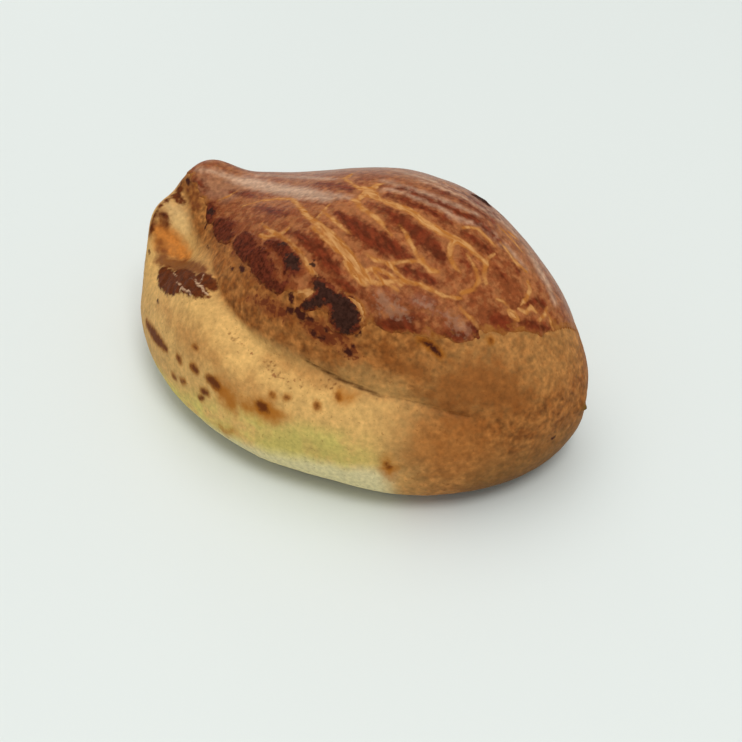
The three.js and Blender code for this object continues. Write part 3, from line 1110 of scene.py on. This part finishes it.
DOUGH_MARKS = (
    Layer("pepper", 0.6, Tone("drip", 1.3), Edge(1.0, 3.4, 0.8, -4.4)),
    # Browned underside and painted shade low down
    Layer("base", 0.85, Tone("base")),
    Layer("stains", 0.9, Tone("stain"), Edge(2.4, 0.9, 1.9)),
    Layer("amber", 0.88, Tone("amber", 1.1, "amber", 0.65, 1.6), Edge(2.0, 0.6, 1.5)),
    Layer("amber_deep", 0.85, Tone("spot", 1.2, "drip", 0.8, 1.4), Edge(1.4, 0.6, 1.0, 0.2)),
    Layer("drips", 0.5, Tone("drip", 1.3), Edge(1.6, 0.9, 1.2)),
    Layer("drips", 0.8, Tone("drip", 0.75), Edge(0.9, 2.4, 0.7, -1.0)),
    Layer("spots", 0.75, Tone("stain", 0.9), Edge(1.2, 0.4, 0.7, 0.35)),
    Layer("spots", 0.95, Tone("spot"), Edge(0.9, 0.35, 0.6, -0.05)),
    # Crust in the open end, and painted shade under the flap's corner
    Layer("mouth_crust_and_shade", 1.0, Tone("crust", 1.3, "crust", 0.65, 1.2), Edge(1.3, 0.7, 0.5)),
    Layer("crinkles", 1.0, Tone("crinkle"), Edge(0.7, 0.1, 0.2)),
    Layer("specks", 1.0, Tone("scorch", 0.6), Edge(0.8, 0.3, 0.3)),
    Layer("pits", 0.7, Tone("spot"), Edge(0.6, 0.15, 0.25)),
    # Painted shade in the seam's crease
    Layer("crease", 0.85, Tone("spot", 0.4), Edge(1.0, 0.1, 0.3)),
    Layer("dry_point", 1.0, Tone("dry_point")),
    Layer("wash", 1.0, Tone("honey", 1.1, "ochre", streak=(4.0, 0.9)), Edge(1.0, 0.2, 0.5, -1.2)),
)
DOUGH_ROUGHNESS = 0.6
DOUGH_SPECULAR = 0.08
DOUGH_SKIN = Skin(1.4, 6.0, 0.65, 0.5)

# The egg wash, from its first colours up
WASH_LUMP = 1.8
WASH_BALANCE = (0.62, 0.38)  # from the lightest tone to the deepest
WASH_SPREAD = 0.12
WASH_FILM = (
    # A painted sheen on the corner, the crown and the far side
    Layer("dull", 0.45, Tone("wash_sheen")),
    # Paler streaks along the ridge and the far side: worn wash and a painted sheen
    Layer("worn", 0.78, Tone("wash_worn_and_sheen", 1.0, "wash_worn_and_sheen", 0.7, streak=(9.0, 1.8)), Edge(1.4, 0.5, 1.3)),
    Layer("pools", 0.9, Tone("wash_pool", 1.4, "wash_pool", 0.75, streak=(2.4, 0.9)), Edge(1.2, 0.8, 0.9)),
)
WASH_GRAIN = Grain(1.0, 0.24, 2.0)
WASH_BLOOM_AND_GLINT = (
    # Paler blistered wash with a painted highlight
    Layer("blisters", 0.32, Tone("bloom_and_glint"), Edge(0.9, 1.6, 0.9, -0.9)),
    Layer("splits", 0.55, Tone("ochre"), Edge(1.0, 0.3, 0.5, 0.1)),
)
SPLIT_THREAD = Tone("honey", 1.16, "ochre", 1.12, streak=(2.4, 0.9))
SPLIT = Layer("splits", 0.92, SPLIT_THREAD, Edge(1.6, 0.2, 0.25, 0.04))
CLOSING_SCALE = 0.6
CLOSING_DETAIL = 3.0
CLOSING_NOISE = (0.36, 0.52)
LEAST_OPEN = 0.55  # how much of a split still shows where it closed
BURNT = Layer("scorch", 0.95, Tone("scorch", 1.9, "scorch", 0.6, 0.9), Edge(1.0, 0.9, 0.5))
BLACKENED = Layer("char", 0.95, Tone("char", 1.6, "char", 0.7, 0.7), Edge(0.9, 0.8, 0.4))
WASH_EDGES = (
    Layer("edge", 1.0, Tone("tan", 1.05, "umber", 1.0, 1.6), Edge(1.2, 1.3, 0.9)),
    Layer("scorch", 0.5, Tone("drip"), Edge(1.2, 0.8, 0.9, 0.7)),
    BURNT,
    BLACKENED,
)
WASH_ROUGHNESS = (0.4, 0.6)  # where it is whole, and where it split or burnt
WASH_SPECULAR = 0.02
COAT_ROUGHNESS = 0.25
WASH_SKIN = Skin(1.6, 5.0, 0.7, 0.7)


def masked(tree, place, layer):
    """Where a layer lies."""
    value = field(tree, layer.field)
    edge = layer.edge
    if edge is None:
        return value
    inputs = {
        "Depth": calculated(tree, "ADD", value, edge.reach),
        "Place": place,
        "Size": edge.lump,
        "Raggedness": edge.raggedness,
        "Softness": edge.softness,
    }
    return placed(tree, "Ragged Mask", inputs)


def mottled(tree, place, light, dark, size, balance, spread=LUMP_SPREAD):
    tones = {"Light": light, "Dark": dark, "Place": place, "Balance": balance, "Spread": spread}
    return placed(tree, "Bake Mottle", {**tones, "Size": size})


def streaked(tree, place, light, dark, balance, length, width):
    tones = {"Light": light, "Dark": dark, "Place": place, "Balance": balance, "Spread": STREAK_SPREAD}
    streaks = {"Across": field(tree, "across"), "Length": length, "Width": width}
    return placed(tree, "Brush Streaks", {**tones, **streaks})


def toned(tree, place, colours, tone):
    """The colour of a tone, or what its node group puts out."""
    light = opaque(getattr(colours, tone.light), tone.light_shade)
    if not tone.dark:
        return light
    dark = opaque(getattr(colours, tone.dark), tone.dark_shade)
    if tone.streak:
        return streaked(tree, place, light, dark, tone.balance, *tone.streak)
    return mottled(tree, place, light, dark, tone.lump, tone.balance)


def layered(tree, place, colours, shown, layers):
    """The colour shown, with each layer laid over it in turn."""
    for layer in layers:
        mask = faded(tree, masked(tree, place, layer), layer.strength)
        shown = mixed(tree, mask, shown, toned(tree, place, colours, layer.tone))
    return shown


def grained(tree, place, shown, grain):
    inputs = {"Size": grain.size, "Strength": grain.strength, "Detail": grain.detail}
    return placed(tree, "Bake Grain", {"Colour": shown, "Place": place, **inputs})


def add_skin(tree, shader, place, skin):
    """Give a shader the fine relief of its crust."""
    inputs = {"Place": place, "Scale": skin.scale, "Detail": skin.detail, "Roughness": skin.roughness}
    height = placed(tree, "Crust Skin", inputs)
    relief = {"Height": height, "Strength": skin.strength, "Distance": SKIN_DEPTH}
    bump = add_node(tree, "ShaderNodeBump", relief)
    tree.links.new(bump.outputs["Normal"], shader.inputs["Normal"])


def material_tree(name):
    """A new material's node tree, its shader and the place on the surface in millimetres."""
    material = bpy.data.materials.new(name)
    material.use_nodes = True
    tree = material.node_tree
    coordinates = add_node(tree, "ShaderNodeTexCoord").outputs["Object"]
    place = add_node(tree, "ShaderNodeVectorMath", {0: coordinates, "Scale": 1.0 / MM}, operation="SCALE")
    return material, tree, tree.nodes["Principled BSDF"], place.outputs["Vector"]


def dough_material(colours):
    """Baked dough: golden lip, browner flank, pale low front, and the spots and runs on it, with painted
    shade in the seam, under the flap's corner and low down.
    """
    material, tree, shader, place = material_tree("baked_dough")
    golden = toned(tree, place, colours, LIP)
    tan = grained(tree, place, toned(tree, place, colours, FLANK), FLANK_GRAIN)
    tan = mixed(tree, faded(tree, field(tree, "end_glow"), END_GLOW), tan, golden)
    shown = mixed(tree, field(tree, "browning"), golden, tan)
    shown = layered(tree, place, colours, shown, DOUGH_BAKE)
    shown = grained(tree, place, shown, DOUGH_GRAIN)
    pores = ranged(tree, rough(tree, place, PORE_SCALE, PORE_DETAIL), *PORE_NOISE)
    shown = mixed(tree, faded(tree, pores, PORE_STRENGTH), shown, opaque(colours.spot))
    shown = layered(tree, place, colours, shown, DOUGH_MARKS)
    tree.links.new(shown, shader.inputs["Base Color"])
    shader.inputs["Roughness"].default_value = DOUGH_ROUGHNESS
    shader.inputs["Specular IOR Level"].default_value = DOUGH_SPECULAR
    add_skin(tree, shader, place, DOUGH_SKIN)
    return material


def wash_material(colours):
    """Baked egg wash: dark where it lies thick, ochre beside the splits, scorched in places, with a painted
    sheen and a painted highlight.
    """
    material, tree, shader, place = material_tree("egg_wash")
    balance = ranged(tree, field(tree, "tone"), 0.0, 1.0, *WASH_BALANCE, smooth=False)
    light = opaque(colours.wash_light)
    deep = opaque(colours.wash_deep)
    shown = mottled(tree, place, light, deep, WASH_LUMP, balance, WASH_SPREAD)
    shown = layered(tree, place, colours, shown, WASH_FILM)
    shown = grained(tree, place, shown, WASH_GRAIN)
    shown = layered(tree, place, colours, shown, WASH_BLOOM_AND_GLINT)
    closing = rough(tree, place, CLOSING_SCALE, CLOSING_DETAIL)
    opened = ranged(tree, closing, *CLOSING_NOISE, LEAST_OPEN, 1.0)
    split = calculated(tree, "MULTIPLY", masked(tree, place, SPLIT), opened)
    thread = toned(tree, place, colours, SPLIT.tone)
    shown = mixed(tree, faded(tree, split, SPLIT.strength), shown, thread)
    shown = layered(tree, place, colours, shown, WASH_EDGES)
    tree.links.new(shown, shader.inputs["Base Color"])

    burnt = calculated(tree, "MAXIMUM", masked(tree, place, BURNT), masked(tree, place, BLACKENED))
    dulled = calculated(tree, "MAXIMUM", burnt, split)
    roughness = ranged(tree, dulled, 0.0, 1.0, *WASH_ROUGHNESS, smooth=False)
    tree.links.new(roughness, shader.inputs["Roughness"])
    bright = calculated(tree, "SUBTRACT", 1.0, dulled)
    coat = calculated(tree, "MULTIPLY", field(tree, "gloss"), bright)
    tree.links.new(coat, shader.inputs["Coat Weight"])
    shader.inputs["Specular IOR Level"].default_value = WASH_SPECULAR
    shader.inputs["Coat Roughness"].default_value = COAT_ROUGHNESS
    add_skin(tree, shader, place, WASH_SKIN)
    return material


# Pieces


def set_fields(mesh, fields):
    for name, values in fields.items():
        layer = mesh.attributes.new(name, "FLOAT", "POINT")
        layer.data.foreach_set("value", np.asarray(values, dtype=np.float32))


def vertex_normals(mesh):
    normals = np.empty(len(mesh.vertices) * 3)
    mesh.vertex_normals.foreach_get("vector", normals)
    return normals.reshape(-1, 3)


def new_mesh(name, places, faces):
    mesh = bpy.data.meshes.new(name)
    mesh.from_pydata(places.tolist(), [], faces)
    mesh.update()
    return mesh


def move_points(mesh, places):
    mesh.vertices.foreach_set("co", places.ravel())
    mesh.polygons.foreach_set("use_smooth", np.ones(len(mesh.polygons), dtype=bool))
    mesh.update()


def add_piece(context, mesh, material):
    mesh.materials.append(material)
    piece = bpy.data.objects.new(mesh.name, mesh)
    context.collection.objects.link(piece)
    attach(piece, BODY)
    return piece


# The unevenness that dough and wash share, as the size of its lumps in millimetres and a seed
BROAD_SWELL = (16.0, 3)
SMALL_SWELL = (7.0, 5)
SMALL_SWELL_SHARE = 0.5


def swell(points, crust):
    """The unevenness of the dough and of the wash on it, in metres."""
    small = SMALL_SWELL_SHARE * ripple(points, *SMALL_SWELL)
    return crust.unevenness * (ripple(points, *BROAD_SWELL) + small)


# Where the bare dough browned, in millimetres: spans along the bun, towards the fold or up, and for the seam
# places along the bun, each with half the height over which the lip's gold turns brown there
SEAM_BLEND = ((-44.0, 2.5), (-28.0, 2.0), (-16.0, 0.8), (-8.0, 0.8), (2.0, 2.2), (14.0, 3.5))
TAPER_SPAN = (10.0, 30.0)
TAPER_LEAN = 0.35  # how much sooner the tapered end browned, for each millimetre towards the fold
TAPER_LOW_SPAN = (9.0, 18.0)
TAPER_LOW_LOSS = 0.15  # how much less it browned low down
BLUSH = 0.08  # how brown the lip is at the pinched end
BLUSH_SPAN = (-25.0, 0.0)
BEHIND_SPAN = (0.0, 14.0)
BEHIND_RISE = (4.0, 24.0)
FRONT_SPAN = (5.0, 20.0)  # towards the front
GLOW_SPAN = (22.0, 38.0)
GLOW_RISE = (21.0, 29.0)
BASE_START = 0.6
BASE_TOP = 2.2
BASE_SHADE_RISE = 20.5  # how much higher the painted shade reaches at the tapered end
BASE_SHADE_SPAN = (34.0, 44.0)
BASE_LUMPS = (5.0, 9)
BASE_SWAY = 0.3
NIB_HEIGHT = 16.5  # level of the tapered end's dry point
NIB_REACH = 0.7  # and how far it spreads
NIB_LENGTH = 0.7 * MM


def browning(points, solid, view):
    """How brown the bare dough is: the flank above the seam and the tapered end are, the lip isn't."""
    along, across, height = points.T
    seam = drawn_path(solid, view, SEAM)
    seam = seam[np.argsort(seam[:, 0])]
    above = height - np.interp(along, seam[:, 0], seam[:, 2])
    blend = np.interp(along, *zip(*SEAM_BLEND))
    flank = smooth_step(above, -blend, blend)
    low = 1.0 - smooth_step(height, *TAPER_LOW_SPAN)
    taper = smooth_step(along + TAPER_LEAN * across, *TAPER_SPAN) * (1.0 - TAPER_LOW_LOSS * low)
    blush = BLUSH * (1.0 - smooth_step(along, *BLUSH_SPAN))
    behind = smooth_step(across, *BEHIND_SPAN) * smooth_step(height, *BEHIND_RISE)
    return np.maximum.reduce((flank, taper, blush, behind))


def low_front(points, band):
    """How much of a band of paler dough there is, low at the front."""
    along, across, height = points.T
    top = np.interp(along, *zip(*band.tops)) + band.sway * ripple(points, band.lump, band.seed)
    low = 1.0 - smooth_step(height, top - band.below, top + band.above)
    end = 1.0 - smooth_step(along + ripple(points, band.end_lump, band.seed), *band.end)
    return low * end * smooth_step(-across, *FRONT_SPAN)


def end_glow(points):
    """How much of the lip's gold the flank has, high towards the tapered end."""
    return smooth_step(points[:, 0], *GLOW_SPAN) * smooth_step(points[:, 2], *GLOW_RISE)


def base_crust_and_shade(points):
    """How dark the underside is: browned on the tray and painted shade along the lower edge, up to just
    above where it met the tray, and painted shade reaching higher at the tapered end.
    """
    top = BASE_TOP + BASE_SHADE_RISE * smooth_step(points[:, 0], *BASE_SHADE_SPAN)
    return 1.0 - smooth_step(points[:, 2] + BASE_SWAY * ripple(points, *BASE_LUMPS), BASE_START, top)


def dry_point(points):
    """How much of the small dry point at the tapered end there is."""
    tip = np.array([CAD_BOX[1].x / MM, HEART.y / MM, NIB_HEIGHT])
    return np.exp(-((np.linalg.norm(points - tip, axis=1) / NIB_REACH) ** 2))


DOUGH_LINES = {
    "mouth_crust_and_shade": MOUTH_CRUST_AND_SHADE,
    "crinkles": CRINKLES,
    "amber": AMBER,
    "amber_deep": AMBER_DEEP,
    "spots": SPOTS,
    "stains": STAINS,
    "drips": DRIPS,
    "specks": SPECKS,
    "olive": OLIVE,
    "browner_and_seam_shade": BROWNER_AND_SEAM_SHADE,
    "warmer": WARMER,
    "lighter": LIGHTER,
    "pepper": PEPPER,
    "crease": CREASE,
    "flap": FLAP,
}
PIT_RADIUS = 0.28  # in millimetres

# Relief of the dough: noises as the size of their lumps in millimetres and a seed, and the depths in a line
# between which each form rises
CRUST_GRAIN = (1.3, 4)
CRUST_LUMPS = (2.0, 6)
BARE_SPAN = (0.0, 1.0)
CREASE_SPAN = (-0.7, 0.3)
PIT_SPAN = (-0.2, 0.3)
CRUST_SPAN = (-0.5, 0.5)
CRINKLE_SPAN = (-0.5, 0.4)
FLAP_SPAN = (-1.5, 1.5)


def dough_fields(points, solid, view):
    """What the dough's relief and material follow, for each point."""
    fields = depths_in_lines(points, solid, view, DOUGH_LINES)
    fields["wash"] = depth_in_wash(points, wash_loop(solid, view))
    pits = np.array([photo_point(solid, view, Vector(pixel)) for pixel in PITS]) / MM
    fields["pits"] = depth_in_stroke(points, pits, (PIT_RADIUS,))
    fields["dry_point"] = dry_point(points)
    fields["across"] = flow_across(points)
    fields["browning"] = browning(points, solid, view)
    fields["pallor"] = low_front(points, PALE)
    fields["cream"] = low_front(points, CREAM)
    fields["end_glow"] = end_glow(points)
    fields["flap"] = smooth_step(fields["flap"], *FLAP_SPAN)
    fields["base"] = base_crust_and_shade(points)
    return fields


def dough_relief(points, fields, crust):
    """How far each point of the dough stands out, in metres."""
    height = swell(points, crust)
    height += crust.grain * ripple(points, *CRUST_GRAIN) * smooth_step(-fields["wash"], *BARE_SPAN)
    height -= crust.crease_depth * smooth_step(fields["crease"], *CREASE_SPAN)
    height -= crust.pit_depth * smooth_step(fields["pits"], *PIT_SPAN)
    crusted = smooth_step(fields["mouth_crust_and_shade"], *CRUST_SPAN)
    height += crust.scorch_lift * crusted * (1.0 + ripple(points, *CRUST_LUMPS))
    height += crust.crinkle_lift * smooth_step(fields["crinkles"], *CRINKLE_SPAN)
    return height


class POGACA_OT_bake_dough(Operator):
    """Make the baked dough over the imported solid, with its seam, pits and spots"""

    bl_idname = "pogaca.bake_dough"
    bl_label = "Bake Dough"

    def execute(self, context):
        crust = context.scene.pogaca_crust
        solid = smoothed_solid()
        places, faces = closed_crust(solid, crust.rings, crust.columns)
        mesh = new_mesh("baked_dough", places, faces)
        points = places / MM
        fields = dough_fields(points, solid, context.scene.pogaca_view)
        height = dough_relief(points, fields, crust)
        places = places + vertex_normals(mesh) * height[:, None]
        places[:, 0] += NIB_LENGTH * fields["dry_point"]
        places[:, 2] = np.maximum(places[:, 2], 0.0)
        move_points(mesh, places)
        set_fields(mesh, fields)
        dough = add_piece(context, mesh, dough_material(context.scene.pogaca_colours))
        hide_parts(NODE)
        return {"FINISHED"}


WASH_LINES = {
    "splits": CRACKS,
    "scorch": SCORCHES,
    "scorch_gaps": SCORCH_GAPS,
    "char": CHARS,
    "blisters": BLISTERS,
    "pools": POOLS,
    "worn": WORN_AND_SHEEN,
    "dull": SHEEN_STROKES,
}

# Noises of the wash: the size of their lumps, or the length and width of their streaks, in millimetres,
# and a seed
COARSE_LUMPS = (3.0, 1)
FINE_LUMPS = (1.1, 2)
BLISTER_LUMPS = (0.7, 10)
STREAKS = (14.0, 2.2, 1)
WISPS = (7.0, 1.0, 2)

# How far the coarse and the fine lumps, or the coarse alone, move the wash's edges, in millimetres
WASH_SWAY = (0.9, 0.6)
SPLIT_SWAY = (0.06, 0.1)
SCORCH_SWAY = 0.3
CHAR_SWAY = 0.2

FILM_EDGE = 0.3  # half the width of the slope at the wash's edges, in millimetres
THIN_RIM = 0.45  # how far thin wash reaches into a split from its side
HIDDEN = -0.5  # wash this far outside its edge is left out

# Depths in a line, or places along the bun or towards the fold, between which each form begins
ISLAND_SPAN = (0.2, 2.4)
BURNT_SPAN = (-0.5, 0.6)
BLISTER_SPAN = (-1.5, 0.5)
SHEEN_SPAN = (-2.0, 1.5)
POOL_SPAN = (-1.5, 0.0)
FAR_SIDE_SPAN = (6.0, 18.0)
FRAYED_SPAN = (14.0, 26.0)

# Shares of the film's thickness: everywhere, more between the splits, and more or less in the streaks
FILM_LEAST = 0.6
FILM_ISLAND = 0.5
FILM_STREAK = 0.4

# Shares of the scorch's lift in its body and its lumps, and of the finest bubbles in a blister
SCORCH_LUMP = 0.6
BLISTER_FINE = 0.8

# How deep its tone is: everywhere, between the splits, and in streaks and wisps
TONE_LEAST = 0.35
TONE_ISLAND = 0.25
TONE_STREAK = 0.6
TONE_WISP = 0.4

# How glossy it is: everywhere, where it blistered and on the far side
GLOSS_LEAST = 0.01
GLOSS_BLISTERED = 0.08
GLOSS_FAR = 0.28

# Width of its thin edge in millimetres: everywhere, more where it frayed, and less beside a pool
RIM_LEAST = 0.6
RIM_FRAYED = 1.2
RIM_POOLED = 1.5


class POGACA_OT_brush_wash(Operator):
    """Make the egg wash as a thin film on the dough, split where the bun rose and scorched at its edge"""

    bl_idname = "pogaca.brush_wash"
    bl_label = "Brush Egg Wash"

    def execute(self, context):
        crust = context.scene.pogaca_crust
        view = context.scene.pogaca_view
        solid = smoothed_solid()
        places, faces = open_crust(solid, crust.wash_rows, crust.wash_columns)
        points = places / MM
        lines = depths_in_lines(points, solid, view, WASH_LINES)
        coarse = ripple(points, *COARSE_LUMPS)
        fine = ripple(points, *FINE_LUMPS)
        wash = depth_in_wash(points, wash_loop(solid, view)) + WASH_SWAY[0] * coarse + WASH_SWAY[1] * fine
        splits = lines["splits"] + SPLIT_SWAY[0] * coarse + SPLIT_SWAY[1] * fine
        scorch = np.minimum(lines["scorch"] + SCORCH_SWAY * coarse, -lines["scorch_gaps"])
        film = np.minimum(np.maximum(wash, scorch), THIN_RIM - splits)
        kept = [face for face in faces if film[list(face)].max() > HIDDEN]
        mesh = new_mesh("egg_wash", places, kept)

        streaks = brushed(points, *STREAKS)
        covered = smooth_step(film, -FILM_EDGE, FILM_EDGE)
        island = smooth_step(-splits, *ISLAND_SPAN)
        burnt = smooth_step(scorch, *BURNT_SPAN)
        blistered = smooth_step(lines["blisters"], *BLISTER_SPAN)
        bubbles = fine + BLISTER_FINE * ripple(points, *BLISTER_LUMPS)
        height = swell(points, crust) - crust.wash_tuck * (1.0 - covered)
        thickness = FILM_LEAST + FILM_ISLAND * island + FILM_STREAK * streaks
        height += crust.wash_thickness * covered * thickness
        height += crust.scorch_lift * burnt * covered * SCORCH_LUMP * (1.0 + coarse + fine)
        height += crust.blister * blistered * bubbles * covered
        move_points(mesh, places + vertex_normals(mesh) * height[:, None])

        wisps = brushed(points, *WISPS)
        tone = TONE_LEAST + TONE_ISLAND * island + TONE_STREAK * streaks + TONE_WISP * wisps
        # The far side takes a painted sheen colour, as well as a real gloss
        far_side = smooth_step(points[:, 1], *FAR_SIDE_SPAN)
        frayed = smooth_step(points[:, 0], *FRAYED_SPAN) * (1.0 - far_side)
        pooled = smooth_step(lines["pools"], *POOL_SPAN)
        fields = {
            "tone": np.clip(tone, 0.0, 1.0),
            "dull": np.maximum(smooth_step(lines["dull"], *SHEEN_SPAN), far_side),
            "gloss": GLOSS_LEAST + GLOSS_BLISTERED * blistered + GLOSS_FAR * far_side,
            "blisters": lines["blisters"],
            "splits": splits,
            "pools": lines["pools"],
            "worn": lines["worn"],
            "edge": RIM_LEAST + RIM_FRAYED * frayed - RIM_POOLED * pooled - wash,
            "scorch": scorch,
            "char": lines["char"] + CHAR_SWAY * coarse,
            "across": flow_across(points),
        }
        set_fields(mesh, fields)
        piece = add_piece(context, mesh, wash_material(context.scene.pogaca_colours))
        drop_loose_points(piece)
        return {"FINISHED"}


def drop_loose_points(piece):
    """Take out the points that no face uses."""
    shell = bmesh.new()
    shell.from_mesh(piece.data)
    loose = [vertex for vertex in shell.verts if not vertex.link_faces]
    bmesh.ops.delete(shell, geom=loose, context="VERTS")
    shell.to_mesh(piece.data)
    shell.free()


# Stage, in metres


class Lamp(NamedTuple):
    """A round soft light."""

    place: tuple
    width: float


KEY_LAMP = Lamp((0.7, -0.4, 1.8), 0.8)
CEILING = Lamp((-0.3, 0.2, 1.9), 2.2)
WINDOW = Lamp((-1.6, 1.3, 0.25), 0.7)
LIT_PLACE = Vector((0.0, 0.0, 0.02))
SKY_COLOUR = (0.97, 1.0, 1.0, 1.0)
FLOOR_SIDE = 3.0
FLOOR_ROUGHNESS = 0.5


def floor_material(shown):
    material = bpy.data.materials.new("floor")
    material.use_nodes = True
    shader = material.node_tree.nodes["Principled BSDF"]
    shader.inputs["Base Color"].default_value = opaque(shown)
    shader.inputs["Roughness"].default_value = FLOOR_ROUGHNESS
    return material


def add_floor(context, shown):
    half = FLOOR_SIDE / 2
    corners = np.array([(-half, -half, 0.0), (half, -half, 0.0), (half, half, 0.0), (-half, half, 0.0)])
    mesh = new_mesh("floor", corners, [(0, 1, 2, 3)])
    mesh.materials.append(floor_material(shown))
    floor = bpy.data.objects.new("floor", mesh)
    context.collection.objects.link(floor)


def add_sky(context, strength):
    world = bpy.data.worlds.new("soft_sky")
    world.use_nodes = True
    sky = world.node_tree.nodes["Background"]
    sky.inputs["Color"].default_value = SKY_COLOUR
    sky.inputs["Strength"].default_value = strength
    context.scene.world = world


def add_lamp(context, name, lamp, power):
    data = bpy.data.lights.new(name, "AREA")
    data.shape = "DISK"
    data.size = lamp.width
    data.energy = power
    light = bpy.data.objects.new(name, data)
    light.location = lamp.place
    light.rotation_euler = (LIT_PLACE - Vector(lamp.place)).to_track_quat("-Z", "Y").to_euler()
    context.collection.objects.link(light)


def add_camera(context, view):
    data = bpy.data.cameras.new("photo_view")
    data.sensor_width = SENSOR_WIDTH
    data.lens = SENSOR_WIDTH * view.focal_length / PHOTO_SIDE
    camera = bpy.data.objects.new("photo_view", data)
    camera.location = camera_place(view)
    camera.rotation_euler = view_axes(view)[2].to_track_quat("Z", "Y").to_euler()
    context.collection.objects.link(camera)
    context.scene.camera = camera


class POGACA_OT_set_stage(Operator):
    """Make the floor, the soft light and the camera"""

    bl_idname = "pogaca.set_stage"
    bl_label = "Set Stage"

    def execute(self, context):
        stage = context.scene.pogaca_stage
        add_floor(context, stage.floor_colour)
        add_sky(context, stage.sky_strength)
        add_lamp(context, "lamp", KEY_LAMP, stage.key_power)
        add_lamp(context, "ceiling", CEILING, stage.ceiling_power)
        add_lamp(context, "window", WINDOW, stage.window_power)
        add_camera(context, context.scene.pogaca_view)
        context.scene.view_settings.view_transform = "Standard"
        return {"FINISHED"}


class POGACA_PT_sidebar(Panel):
    """Steps and settings of the bun"""

    bl_idname = "POGACA_PT_sidebar"
    bl_label = "Cheese Pogaca"
    bl_space_type = "VIEW_3D"
    bl_region_type = "UI"
    bl_category = "Pogaca"

    def draw(self, context):
        for step in OPERATORS:
            self.layout.operator(step.bl_idname)
        for name, group in SETTINGS.items():
            box = self.layout.box()
            for setting in group.__annotations__:
                box.prop(getattr(context.scene, name), setting)


SETTINGS = {
    "pogaca_view": PogacaView,
    "pogaca_crust": PogacaCrust,
    "pogaca_colours": PogacaColours,
    "pogaca_stage": PogacaStage,
}
OPERATORS = (POGACA_OT_bake_dough, POGACA_OT_brush_wash, POGACA_OT_set_stage)
CLASSES = (*SETTINGS.values(), *OPERATORS, POGACA_PT_sidebar)


def register():
    for cls in CLASSES:
        bpy.utils.register_class(cls)
    for name, group in SETTINGS.items():
        setattr(bpy.types.Scene, name, PointerProperty(type=group))


def unregister():
    for name in SETTINGS:
        delattr(bpy.types.Scene, name)
    for cls in reversed(CLASSES):
        bpy.utils.unregister_class(cls)


def main():
    register()
    bpy.ops.pogaca.bake_dough()
    bpy.ops.pogaca.brush_wash()
    bpy.ops.pogaca.set_stage()


if __name__ == "__main__":
    main()
